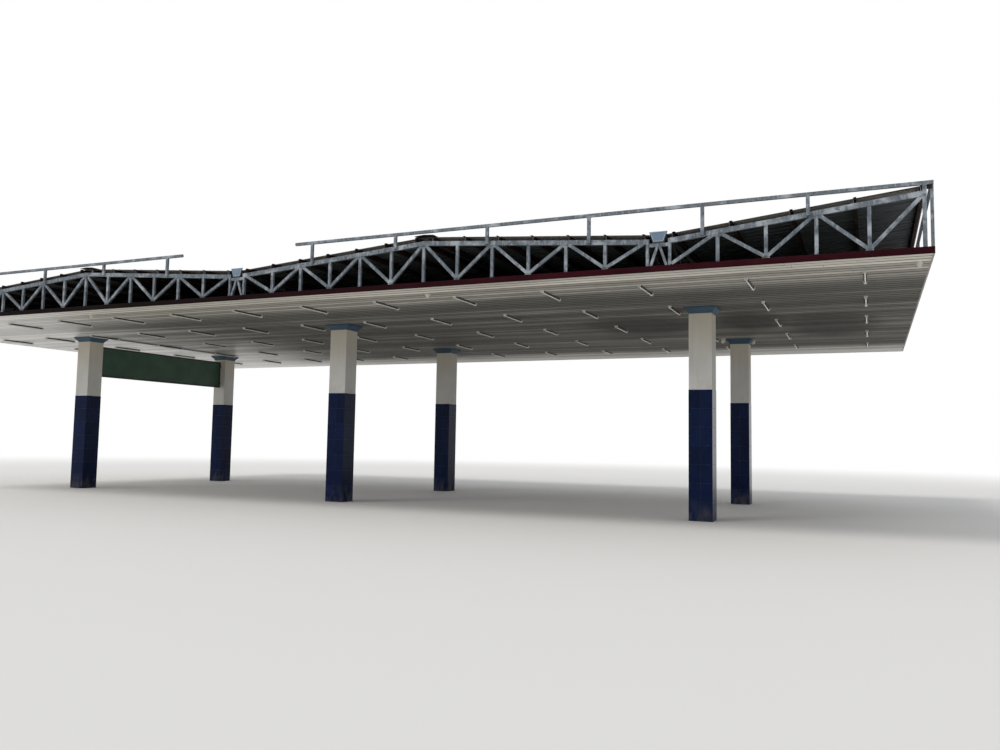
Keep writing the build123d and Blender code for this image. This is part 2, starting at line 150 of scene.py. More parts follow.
@dataclass
class Workpiece:
    """A mesh object that is being shaped."""

    thing: bpy.types.Object

    @classmethod
    def started(cls, name: str, primitive: Callable, scale: Iterable[float],
                **settings: object) -> "Workpiece":
        """Starts from a primitive at its size and place.

        Args:
            name: name of the piece.
            primitive: the operator that adds it.
            scale: its scale along each axis.
            settings: what the operator takes.

        Returns:
            The new workpiece.
        """
        deselect()
        primitive(**settings)
        thing = bpy.context.object
        thing.name, thing.scale = name, tuple(scale)
        bpy.ops.object.transform_apply(location=True, rotation=True, scale=True)
        return cls(thing)

    @classmethod
    def block(cls, name: str, low: Iterable[float], high: Iterable[float]) -> "Workpiece":
        """A block between its lowest and highest corner."""
        low, high, cube = Vector(low), Vector(high), bpy.ops.mesh.primitive_cube_add
        return cls.started(name, cube, high - low, location=(low + high) / 2, size=1.0)

    @classmethod
    def rod(cls, name: str, radius: float, length: float, centre: Place, turn: Place = (0, 0, 0),
            sides: int = 12) -> "Workpiece":
        """A rod about its centre, upright before it is turned by Euler angles."""
        return cls.started(name, bpy.ops.mesh.primitive_cylinder_add, (1, 1, 1), location=centre,
                           rotation=turn, vertices=sides, radius=radius, depth=length)

    @classmethod
    def sheet(cls, name: str, length: float, width: float) -> "Workpiece":
        """A level sheet that begins at x = 0 and lies evenly about y = 0."""
        return cls.started(name, bpy.ops.mesh.primitive_plane_add, (length, width, 1),
                           location=(length / 2, 0, 0), size=1.0)

    @classmethod
    def joined(cls, name: str, pieces: list["Workpiece"]) -> "Workpiece":
        """Joins pieces into one object.

        Args:
            name: name of the joined piece.
            pieces: what is joined.

        Returns:
            The joined workpiece.
        """
        pieces[0].take(*pieces)
        if len(pieces) > 1:
            bpy.ops.object.join()
        pieces[0].thing.name = name
        return pieces[0]

    def take(self, *others: "Workpiece") -> None:
        """Selects this object and others alone, and makes this one active.

        Args:
            others: what is selected with it.
        """
        deselect()
        for piece in (self, *others):
            piece.thing.select_set(True)
        bpy.context.view_layer.objects.active = self.thing

    def worked(self, kind: Part, test: Test, *steps: Step) -> "Workpiece":
        """Runs steps in edit mode with only the elements selected that pass a test.

        Args:
            kind: faces, edges or corners.
            test: takes an element's centre and its direction (normal of a face, run of an edge).
            steps: operators, each with its settings.

        Returns:
            This workpiece.
        """
        self.take()
        bpy.ops.object.mode_set(mode="EDIT")
        bpy.ops.mesh.select_mode(type=kind.value)
        bpy.ops.mesh.select_all(action="DESELECT")
        mesh = bmesh.from_edit_mesh(self.thing.data)
        if kind is Part.FACE:
            for face in mesh.faces:
                face.select_set(test(face.calc_center_median(), face.normal))
        elif kind is Part.EDGE:
            for edge in mesh.edges:
                first, last = (corner.co for corner in edge.verts)
                edge.select_set(test((first + last) / 2, (last - first).normalized()))
        else:
            for corner in mesh.verts:
                corner.select_set(test(corner.co, corner.normal))
        bmesh.update_edit_mesh(self.thing.data)
        for step in steps:
            step()
        bpy.ops.object.mode_set(mode="OBJECT")
        return self

    def sliced(self, places: Iterable[float]) -> "Workpiece":
        """Cuts all faces across Y.

        Args:
            places: where the cuts are.

        Returns:
            This workpiece.
        """
        for place in places:
            cut = partial(bpy.ops.mesh.bisect, plane_co=(0, place, 0), plane_no=(0, 1, 0))
            self.worked(Part.FACE, lambda at, way: True, cut)
        return self

    def grown(self, rise: float, scale: float) -> "Workpiece":
        """Extrudes the top face upwards by a rise and scales it."""
        top = max(corner.co.z for corner in self.thing.data.vertices)
        return self.worked(Part.FACE, lambda at, way: UP(at, way) and at.z > top - NEAR, pushed(0, 0, rise),
                           scaled(scale, scale, (0, 0, top + rise)))

    def modified(self, kind: str, **settings: object) -> "Workpiece":
        """Adds a modifier and applies it.

        Args:
            kind: the modifier's type.
            settings: its properties.

        Returns:
            This workpiece.
        """
        self.take()
        modifier = self.thing.modifiers.new(kind.title(), kind)
        for key, value in settings.items():
            setattr(modifier, key, value)
        bpy.ops.object.modifier_apply(modifier=modifier.name)
        return self

    def softened(self, width: float, segments: int = 1) -> "Workpiece":
        """Rounds all edges a little."""
        return self.modified("BEVEL", width=width, segments=segments, limit_method="ANGLE")

    def thickened(self, thickness: float, offset: float) -> "Workpiece":
        """Gives a sheet its thickness, upwards for an offset of 1 and downwards for -1."""
        return self.modified("SOLIDIFY", thickness=thickness, offset=offset)

    def in_row(self, count: int, step: float) -> "Workpiece":
        """Repeats the mesh along Y and merges it where the copies meet."""
        return self.modified("ARRAY", count=count, use_relative_offset=False, use_constant_offset=True,
                             constant_offset_displace=(0, step, 0), use_merge_vertices=True,
                             merge_threshold=NEAR)

    def placed(self, place: Matrix) -> "Workpiece":
        """Moves the mesh itself."""
        self.thing.data.transform(place)
        return self

    def repeated(self, name: str, places: Iterable[Matrix]) -> "Workpiece":
        """Joins copies with a mesh of their own, one at each place; the pattern itself goes.

        Args:
            name: name of the joined piece.
            places: where the copies go.

        Returns:
            The joined workpiece.
        """
        copies = []
        for place in places:
            twin = self.thing.copy()
            twin.data = self.thing.data.copy()
            twin.data.transform(place)
            bpy.context.scene.collection.objects.link(twin)
            copies.append(Workpiece(twin))
        bpy.data.objects.remove(self.thing)
        return Workpiece.joined(name, copies)

    def finished(self, material: Material, slot: str, *nodes: str) -> None:
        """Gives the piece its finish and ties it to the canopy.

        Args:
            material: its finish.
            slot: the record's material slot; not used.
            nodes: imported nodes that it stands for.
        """
        self.thing.data.materials.clear()
        self.thing.data.materials.append(material)
        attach(self.thing, BODY)
        if nodes:
            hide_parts(*nodes)
        LOG.info("%s: %d faces", self.thing.name, len(self.thing.data.polygons))


# ---- finishes --------------------------------------------------------------------------------------


def operator(operation: str, reflected: bool = False) -> Callable:
    """Makes an operator of signals, which adds a Math node.

    Args:
        operation: what the node works out.
        reflected: whether the signal is the second of its two values.

    Returns:
        The method; its other value is 0 when none is given.
    """
    def combined(one: "Signal", other: object = 0.0) -> "Signal":
        """The node's output."""
        first, second = (other, one) if reflected else (one, other)
        return one.nodes.node("Math", {0: first, 1: second}, operation=operation)
    return combined


@dataclass(frozen=True)
class Signal:
    """An output of a shader node that takes part in Python arithmetic; | is the larger of two."""

    nodes: "Nodes"
    socket: bpy.types.NodeSocket

    __add__, __radd__ = operator("ADD"), operator("ADD", True)
    __sub__, __rsub__, __neg__ = operator("SUBTRACT"), operator("SUBTRACT", True), operator("SUBTRACT", True)
    __mul__, __rmul__ = operator("MULTIPLY"), operator("MULTIPLY", True)
    __truediv__, __mod__, __or__ = operator("DIVIDE"), operator("FLOORED_MODULO"), operator("MAXIMUM")
    floor, size = operator("FLOOR"), operator("ABSOLUTE")

    def within(self, low: float, high: float) -> "Signal":
        """Rises smoothly from 0 at low to 1 at high."""
        return self.nodes.node("MapRange", {"Value": self, "From Min": low, "From Max": high},
                               interpolation_type="SMOOTHSTEP")


@dataclass
class Nodes:
    """A node tree that is being filled."""

    tree: bpy.types.NodeTree

    def node(self, kind: str, sockets: dict[str | int, object], output: str | int = 0,
             **settings: object) -> Signal:
        """Adds a node.

        Args:
            kind: the shader node's type.
            sockets: values, colours or signals for its inputs.
            output: which output is wanted.
            settings: its properties, which are set first.

        Returns:
            That output.
        """
        made = self.tree.nodes.new(f"ShaderNode{kind}")
        for key, value in settings.items():
            setattr(made, key, value)
        for key, value in sockets.items():
            self.feed(made.inputs[key], value)
        return Signal(self, made.outputs[output])

    def feed(self, socket: bpy.types.NodeSocket, value: object) -> None:
        """Links a signal to an input, or sets its value.

        Args:
            socket: the input.
            value: a signal, a colour or a number.
        """
        if isinstance(value, Signal):
            self.tree.links.new(value.socket, socket)
        elif isinstance(value, tuple) and socket.type == "RGBA":
            socket.default_value = (*value, 1.0)
        else:
            socket.default_value = value

    def ray(self, kind: str) -> Signal:
        """1 where a ray of the given kind looks, such as Camera or Glossy."""
        return self.node("LightPath", {}, f"Is {kind} Ray")

    def blended(self, share: Signal, first: Signal, second: Signal) -> Signal:
        """Mixes two shaders."""
        return self.node("MixShader", {0: share, 1: first, 2: second})


class Recipe(Nodes):
    """A material under construction."""

    def __init__(self, name: str) -> None:
        """Starts an empty node material.

        Args:
            name: name of the material.
        """
        self.material = bpy.data.materials.new(name)
        self.material.use_nodes = True
        super().__init__(self.material.node_tree)
        self.surface = self.tree.nodes["Principled BSDF"]
        self.place = self.node("TexCoord", {}, "Object")
        self.normal = self.node("NewGeometry", {}, "Normal")

    def axis(self, name: str) -> Signal:
        """X, Y or Z of the surface point, in metres."""
        return self.node("SeparateXYZ", {0: self.place}, name)

    def tilt(self) -> Signal:
        """How far the surface looks up, from -1 to 1."""
        return self.node("SeparateXYZ", {0: self.normal}, "Z")

    def noise(self, scale: float, detail: float, stretch: Place = (1, 1, 1), shift: float = 0.0) -> Signal:
        """Cloudy noise about 0.5, with a scale in features a metre that can be stretched and shifted."""
        spot = self.node("Mapping", {"Vector": self.place, "Location": (shift,) * 3, "Scale": stretch})
        return self.node("TexNoise", {"Vector": spot, "Scale": scale, "Detail": detail})

    def chance(self, *values: Signal) -> Signal:
        """A random value that is the same wherever the given values are."""
        spot = self.node("CombineXYZ", dict(enumerate(values)))
        return self.node("TexWhiteNoise", {"Vector": spot})

    def coats(self, ground: object, *layers: tuple[object, object]) -> Signal:
        """Lays colours over a ground with Mix nodes, whose colour sockets are the seventh and eighth.

        Args:
            ground: colour of the ground.
            layers: share and colour of each coat, the lowest first.

        Returns:
            The colour that shows.
        """
        for share, colour in layers:
            ground = self.node("Mix", {0: share, 6: ground, 7: colour}, 2, data_type="RGBA")
        return ground

    def made(self, colour: object, roughness: object, relief: Signal | None = None, depth: float = 0.001,
             metallic: object = 0.0, **constants: float) -> Material:
        """Connects the surface.

        Args:
            colour: base colour.
            roughness: value or signal.
            relief: height for the bump, if any.
            depth: metres of relief at height 1.
            metallic: value or signal.
            constants: other sockets of the surface, with spaces as underscores.

        Returns:
            The finished material.
        """
        inputs = self.surface.inputs
        for name, value in (("Base Color", colour), ("Roughness", roughness), ("Metallic", metallic)):
            self.feed(inputs[name], value)
        for key, value in constants.items():
            inputs[key.replace("_", " ")].default_value = value
        if relief is not None:
            self.feed(inputs["Normal"], self.node("Bump", {"Height": relief, "Distance": depth}, "Normal"))
        return self.material


def darker(colour: Colour, share: float) -> Colour:
    """A colour at a share of its strength."""
    return tuple(share * part for part in colour)


@dataclass(frozen=True)
class Finish:
    """A finish with its main colour."""

    name: str
    colour: Colour


@dataclass(frozen=True)
class SteelPaint(Finish):
    """Blotchy hand brushed paint on the outer steel, and near-black on the steel inside the roof."""

    thick: Colour
    thin: Colour
    inside: Colour
    reach: Pair
    dust: Colour = (0.3, 0.28, 0.24)
    rust: Colour = (0.11, 0.06, 0.035)
    rust_from: float = 0.7
    roughness: float = 0.5

    def made(self) -> Material:
        """Builds the material."""
        mix = Recipe(self.name)
        clouds, blotches = mix.noise(2.6, 6.0), mix.noise(11.0, 5.0, shift=8.0)
        brushed = mix.noise(28.0, 4.0, (1, 1, 0.3))
        rust = mix.noise(6.5, 6.0, shift=3.0).within(self.rust_from, self.rust_from + 0.06)
        past_x, past_y = (mix.axis(axis).size().within(place, place + 0.02)
                          for axis, place in zip("XY", self.reach))
        coat = mix.coats(
            self.colour,
            (clouds.within(0.48, 0.7), self.thick),
            (blotches.within(0.5, 0.66) * 0.7, self.thin),
            (brushed.within(0.5, 0.68) * 0.55, self.thick),
            ((-mix.tilt()).within(0.4, 0.9) * 0.45, self.thin),
            (mix.tilt().within(0.5, 0.95) * 0.3, self.dust),
            # near-black on the steel inside the roof
            (1.0 - (past_x | past_y), self.inside),
            (rust * 0.75, self.rust))
        return mix.made(coat, self.roughness + 0.18 * clouds + 0.25 * rust,
                        0.6 * brushed + 0.5 * blotches + 0.6 * rust, 0.0016, Specular_IOR_Level=0.3)


@dataclass(frozen=True)
class Primer(Finish):
    """Thin matt primer, scuffed down to steel in places, with painted shade darkening it towards the left
    where asked.
    """

    scuffed: Colour
    # share of the painted shade towards the left, its colour and its reach along X
    left_shade: float = 0.0
    painted_shade: Colour = (0.003, 0.002, 0.0022)
    left_shade_reach: Pair = (-3.0, 8.5)

    def made(self) -> Material:
        """Builds the material."""
        mix = Recipe(self.name)
        blotches = mix.noise(2.4, 6.0, (0.6, 0.6, 1.5))
        scratches = mix.noise(30.0, 4.0, (0.15, 0.15, 2.0), 5.0)
        coat = mix.coats(self.colour, (blotches.within(0.3, 0.75), darker(self.colour, 0.6)),
                         (scratches.within(0.62, 0.72) * 0.55, self.scuffed))
        # painted shade: darker towards the left
        if self.left_shade:
            coat = mix.coats(coat, ((1.0 - mix.axis("X").within(*self.left_shade_reach)) * self.left_shade, self.painted_shade))
        return mix.made(coat, 0.62 + 0.2 * blotches, scratches, 0.0012, Specular_IOR_Level=0.08)


@dataclass(frozen=True)
class SmoothRender(Finish):
    """Masonry paint on troweled render, warmer under the ceiling, with rain marks and grime."""

    shade: Colour
    warm: Colour
    grime: Colour = (0.27, 0.25, 0.22)
    warm_from: Pair = (3.3, 4.7)
    grimy_to: Pair = (2.85, 3.15)

    def made(self) -> Material:
        """Builds the material."""
        mix = Recipe(self.name)
        clouds, trowel = mix.noise(1.3, 5.0), mix.noise(9.0, 6.0, (1, 1, 0.6), 2.0)
        streaks = mix.noise(13.0, 4.0, (1, 1, 0.05), 7.0)
        low = 1.0 - mix.axis("Z").within(*self.grimy_to)
        coat = mix.coats(
            self.colour,
            (clouds.within(0.3, 0.7), self.shade),
            (mix.axis("Z").within(*self.warm_from), self.warm),
            (streaks.within(0.5, 0.8) * 0.14, self.grime),
            (low * trowel.within(0.4, 0.7) * 0.25, self.grime))
        return mix.made(coat, 0.66 + 0.12 * clouds, trowel + 0.35 * mix.noise(160.0, 3.0), 0.002)


@dataclass(frozen=True)
class GlazedTile(Finish):
    """Deep glaze on tiles, each a shade of its own, with dust near the ground."""

    lighter: Colour
    tile: Pair
    dust: Colour = (0.16, 0.145, 0.125)
    dust_top: float = 0.55

    def made(self) -> Material:
        """Builds the material."""
        mix = Recipe(self.name)
        wide, high = self.tile
        across = (mix.axis("X") / wide).floor() + (mix.axis("Y") / wide).floor()
        own = mix.chance(across, (mix.axis("Z") / high).floor())
        clouds = mix.noise(6.0, 5.0)
        spots = mix.noise(7.0, 6.0, (1, 1, 0.5), 4.0).within(0.3, 0.8)
        splash = (1.0 - mix.axis("Z").within(0.0, self.dust_top)) * spots
        coat = mix.coats(self.colour, (own, self.lighter),
                         (clouds.within(0.35, 0.75) * 0.4, darker(self.colour, 0.5)),
                         (splash * 0.4, self.dust))
        return mix.made(coat, 0.14 + 0.45 * splash + 0.06 * clouds, mix.noise(9.0, 2.0, shift=1.0), 0.0007,
                        IOR=1.2, Specular_IOR_Level=0.3)


@dataclass(frozen=True)
class StripMetal(Finish):
    """Coated ceiling strips: each a tone of its own, butt joints, grime and painted shade deepest inwards,
    painted shade in patches, in the grooves and as a shadow seam, painted light to the rear and the left,
    and a painted highlight line on each strip.
    """

    # dark of the strips' own tone, also the painted shade inwards
    dark_tone_and_shade: Colour
    pitch: float
    depth: float
    grime: Colour = (0.07, 0.068, 0.06)
    # dark of the butt joints; also painted shade in the grooves, in patches and along the seam
    groove: Colour = (0.03, 0.03, 0.028)
    # colour of the painted light towards the rear and the left
    painted_light: Colour = (0.93, 0.91, 0.86)
    panel: float = 4.65
    batch: int = 4
    # reach of the painted shade inwards from the long edges
    shaded_core_from: Pair = (0.2, 3.4)
    # reaches of the painted light at the rear and on the left
    rear_from: Pair = (3.4, 0.3)
    left_from: Pair = (2.5, 10.5)
    # place along X and reach along Y of the painted shadow seam at the left column line
    shadow_seam: float = -9.2
    shadow_seam_reach: Pair = (2.7, 3.0)
    gloss: float = 0.8
    gloss_from: Pair = (4.0, 9.8)

    def painted_shade(self, mix: Recipe, smears: Signal) -> list[tuple[Signal, Colour]]:
        """Painted shade patches, as layers.

        Args:
            mix: the material's recipe.
            smears: noise that breaks the patches up.

        Returns:
            The share and colour of each patch.
        """
        layers = []
        for middle_x, middle_y, reach_x, reach_y in SHADE_PATCHES:
            aside, beyond = (mix.axis("X") - middle_x) / reach_x, (mix.axis("Y") - middle_y) / reach_y
            patch = 1.0 - (aside * aside + beyond * beyond).within(0.1, 1.6)
            layers.append((patch * (0.6 + 0.5 * smears), self.groove))
        return layers

    def made(self) -> Material:
        """Builds the material."""
        mix = Recipe(self.name)
        across = mix.axis("Y") / self.pitch
        strip = across.floor()
        own, batch = mix.chance(strip), mix.chance((across / self.batch).floor() + 0.5)
        along = mix.axis("X") + own * self.panel
        panel = mix.chance(strip, (along / self.panel).floor())
        # painted shade: the strips darken inwards from the long edges
        shaded_core = (self.depth - mix.axis("Y").size()).within(*self.shaded_core_from)
        broad = mix.noise(0.22, 4.0, (0.5, 1.3, 1), 4.0)
        # painted light: the strips lighten towards the rear edge and the left end
        rear = mix.axis("Y").within(*(self.depth - inwards for inwards in self.rear_from))
        painted_light = rear | (-mix.axis("X")).within(*self.left_from)
        # own tone and grime show more in the painted shade and less in the painted light
        kept = (0.45 + 0.55 * shaded_core) * (1.0 - 0.6 * painted_light)
        smears, fine = mix.noise(1.8, 6.0, (0.14, 1.6, 1)), mix.noise(8.0, 6.0, (0.1, 2.4, 1), 6.0)
        # painted shadow along the step at the left column line, sharp on the left and fading to the right
        past = mix.axis("X") - self.shadow_seam
        between = 1.0 - mix.axis("Y").size().within(*self.shadow_seam_reach)
        shadow_seam = past.within(0.0, 0.03) * (1.0 - past.within(0.06, 0.8)) * between
        # beside: distance from a strip's middle; bead: where the painted highlight line runs along each
        # strip
        beside = (across % 1.0 - 0.5).size()
        bead = 1.0 - (beside - 0.2).size().within(0.015, 0.05)
        joint = 1.0 - (along % self.panel).within(0.0, 0.012)
        coat = mix.coats(
            self.colour,
            # painted shade deepening inwards
            (shaded_core * (0.6 + 0.5 * broad.within(0.3, 0.7)), self.dark_tone_and_shade),
            # painted light
            (painted_light, self.painted_light),
            (own.within(0.35, 0.65) * kept * 0.85, self.dark_tone_and_shade),
            (batch.within(0.3, 0.8) * kept * 0.6, self.grime),
            (panel * kept * 0.3, self.grime),
            (smears.within(0.42, 0.72) * kept * 0.6, self.grime),
            (fine.within(0.5, 0.75) * kept * 0.6, self.grime),
            # painted shade patches on the ceiling
            *self.painted_shade(mix, smears),
            # painted shadow seam
            (shadow_seam * 0.9, self.groove),
            # painted shade in the grooves between strips
            (beside.within(0.4, 0.46) * (1.0 - 0.6 * painted_light), self.groove),
            # painted highlight line on each strip
            (bead * (1.0 - painted_light) * 0.4, self.colour),
            (joint * 0.7, self.groove))
        glossy = (-mix.axis("X")).within(*self.gloss_from) * self.gloss * (1.0 - shadow_seam)
        mix.feed(mix.surface.inputs["Coat Weight"], glossy)
        ripple = mix.noise(5.0, 3.0, (0.35, 2.2, 1), 9.0)
        return mix.made(coat, 0.55 + 0.2 * smears, ripple - 0.5 * joint, 0.006, IOR=1.2,
                        Specular_IOR_Level=0.2, Coat_Roughness=0.3, Coat_IOR=1.5)


@dataclass(frozen=True)
class RolledSheet(Finish):
    """Coated roof sheet, pale and weathered above, dark and dull underneath, with painted light on the
    underside near a free edge.
    """

    # colour of the sides and underside; on the gutter troughs it is painted shade
    under: Colour
    free_edge: float
    # colour and reach of the painted light on the underside near a free edge
    lit_edge_under: Colour = (0.25, 0.235, 0.215)
    edge_from: Pair = (0.55, 0.25)
    cover: float = 0.97
    rust: Colour = (0.19, 0.085, 0.04)

    def made(self) -> Material:
        """Builds the material."""
        mix = Recipe(self.name)
        clouds, runs = mix.noise(0.9, 6.0), mix.noise(9.0, 5.0, (0.08, 1.4, 1))
        across = mix.axis("Y") / self.cover
        lap = 1.0 - (across % 1.0).within(0.0, 0.03)
        above = mix.coats(
            self.colour,
            (mix.chance(across.floor()) * 0.6, darker(self.colour, 0.7)),
            (clouds.within(0.35, 0.7) * 0.3, darker(self.colour, 0.6)),
            (runs.within(0.5, 0.75) * 0.35, self.rust),
            (lap * clouds.within(0.3, 0.6) * 0.7, self.rust))
        # painted light on the underside near the free edge
        near_edge = mix.axis("Y").size().within(*(self.free_edge - inwards for inwards in self.edge_from))
        below = mix.coats(self.under, (runs.within(0.35, 0.7), darker(self.under, 0.55)),
                          (near_edge, self.lit_edge_under))
        coat = mix.coats(below, (mix.tilt().within(0.1, 0.25), above))
        return mix.made(coat, 0.45 + 0.25 * clouds, runs, 0.002, 0.35)


@dataclass(frozen=True)
class Zinc(Finish):
    """Hot dipped zinc with its spangle and white bloom."""

    bloom: Colour
    metal: float = 0.5
    spangle: float = 75.0

    def made(self) -> Material:
        """Builds the material."""
        mix = Recipe(self.name)
        flakes = mix.node("TexVoronoi", {"Vector": mix.place, "Scale": self.spangle}, "Color")
        flake = mix.node("SeparateXYZ", {0: flakes}, "X")
        bloom = mix.noise(3.0, 5.0).within(0.45, 0.72)
        coat = mix.coats(self.colour, (flake * 0.5, darker(self.colour, 0.7)), (bloom * 0.6, self.bloom))
        return mix.made(coat, 0.34 + 0.15 * flake + 0.3 * bloom, flake, 0.0004,
                        self.metal * (1.0 - 0.5 * bloom), Specular_IOR_Level=0.5)


@dataclass(frozen=True)
class SatinPaint(Finish):
    """Even sprayed paint with faint orange peel, fade and dirt."""

    faded: Colour
    roughness: float = 0.35
    grain: float = 130.0

    def made(self) -> Material:
        """Builds the material."""
        mix = Recipe(self.name)
        clouds, peel = mix.noise(1.8, 5.0), mix.noise(self.grain, 2.0)
        runs = mix.noise(11.0, 4.0, (1, 1, 0.07), 3.0)
        coat = mix.coats(self.colour, (clouds.within(0.3, 0.72), self.faded),
                         (runs.within(0.55, 0.78) * 0.3, darker(self.colour, 0.55)))
        return mix.made(coat, self.roughness + 0.22 * clouds, peel + 0.4 * runs, 0.0007,
                        Specular_IOR_Level=0.3)


@dataclass(frozen=True)
class TubeGlass(Finish):
    """Frosted white glass with faint grey clouds."""

    def made(self) -> Material:
        """Builds the material."""
        mix = Recipe(self.name)
        clouds = mix.noise(9.0, 3.0)
        coat = mix.coats(self.colour, (clouds.within(0.4, 0.8) * 0.5, darker(self.colour, 0.75)))
        return mix.made(coat, 0.18 + 0.1 * clouds, clouds, 0.0003, Coat_Weight=0.3)


# ---- the canopy's plan -----------------------------------------------------------------------------


@dataclass(frozen=True)
class Slope:
    """One slope of the roof: it starts at a girder and rises to a ridge or an end."""

    name: str
    sign: int
    low: float
    run: float
    rise: float
    base: float
    purlin_width: float = 0.05
    ridge_setback: float = 0.17
    gable_purlins: int = 7
    wing_purlins: int = 5

    @property
    def length(self) -> float:
        """Length up the slope."""
        return math.hypot(self.run, self.rise)

    @property
    def wing(self) -> bool:
        """Whether it rises to an end of the canopy."""
        return self.name.endswith("wing")

    @property
    def frame(self) -> Matrix:
        """Puts a piece drawn along +X, on z = 0, on the slope."""
        turn = turned(0.0 if self.sign > 0 else math.pi)
        return shifted(self.low, 0, self.base) @ turn @ turned(-math.atan2(self.rise, self.run), "Y")

    @property
    def purlins(self) -> list[float]:
        """Distances of the purlins up the slope."""
        count = self.wing_purlins if self.wing else self.gable_purlins
        run = self.length - (self.purlin_width if self.wing else self.ridge_setback) - self.purlin_width
        return [self.purlin_width + run * index / (count - 1) for index in range(count)]


@dataclass(frozen=True)
class Plan:
    """Main places of the canopy in metres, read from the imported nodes."""

    lines: tuple[float, float, float]
    rows: Pair
    half_length: float
    half_depth: float
    ceiling: float
    tile_top: float
    beam_top: float
    chord_low: float
    truss_face: float
    girder: float
    ridge: float
    wing_top: float
    wing_end: float
    sheet_edge: float
    dado: float

    @classmethod
    def read(cls) -> "Plan":
        """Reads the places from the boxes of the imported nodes."""
        low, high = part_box("column_front_right")
        gable_low, gable_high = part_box("truss_front_right_gable")
        girder_low, girder_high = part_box("box_girder_middle")
        wing_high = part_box("truss_front_right_wing")[1]
        ceiling_low, ceiling_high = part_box("ceiling")
        tiles_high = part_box("column_tiles_front")[1]
        line, row = (low.x + high.x) / 2, (low.y + high.y) / 2
        return cls(
            lines=(-line, 0.0, line), rows=(row, -row), half_length=ceiling_high.x,
            half_depth=ceiling_high.y, ceiling=ceiling_low.z, tile_top=tiles_high.z, beam_top=gable_low.z,
            chord_low=girder_high.z, truss_face=-gable_low.y, girder=girder_high.x - girder_low.x,
            ridge=gable_high.z, wing_top=wing_high.z, wing_end=wing_high.x,
            sheet_edge=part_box("roof_sheet_right_wing")[1].y, dado=tiles_high.x - line)

    @property
    def bay(self) -> float:
        """Distance between two column lines."""
        return self.lines[2]

    @property
    def slopes(self) -> list[Slope]:
        """All slopes of the roof."""
        half, bay, base = self.girder / 2, self.bay, self.chord_low
        gable = ((bay - self.girder) / 2, self.ridge - base, base)
        wing = (self.wing_end - bay - half, self.wing_top - base, base)
        return [
            Slope("left_wing", -1, -bay - half, *wing),
            Slope("left_gable_left", 1, -bay + half, *gable),
            Slope("left_gable_right", -1, -half, *gable),
            Slope("right_gable_left", 1, half, *gable),
            Slope("right_gable_right", -1, bay - half, *gable),
            Slope("right_wing", 1, bay + half, *wing),
        ]


# ---- sub-assemblies --------------------------------------------------------------------------------


@dataclass
class Assembly:
    """Like pieces of the canopy, with the plan that places them and the finishes they can have."""

    plan: Plan
    finishes: dict[str, Material]

    def dress(self, piece: Workpiece, slot: str, *nodes: str, finish: str = "") -> None:
        """Finishes a piece as its slot says, unless another finish is named."""
        piece.finished(self.finishes[finish or slot], slot, *nodes)


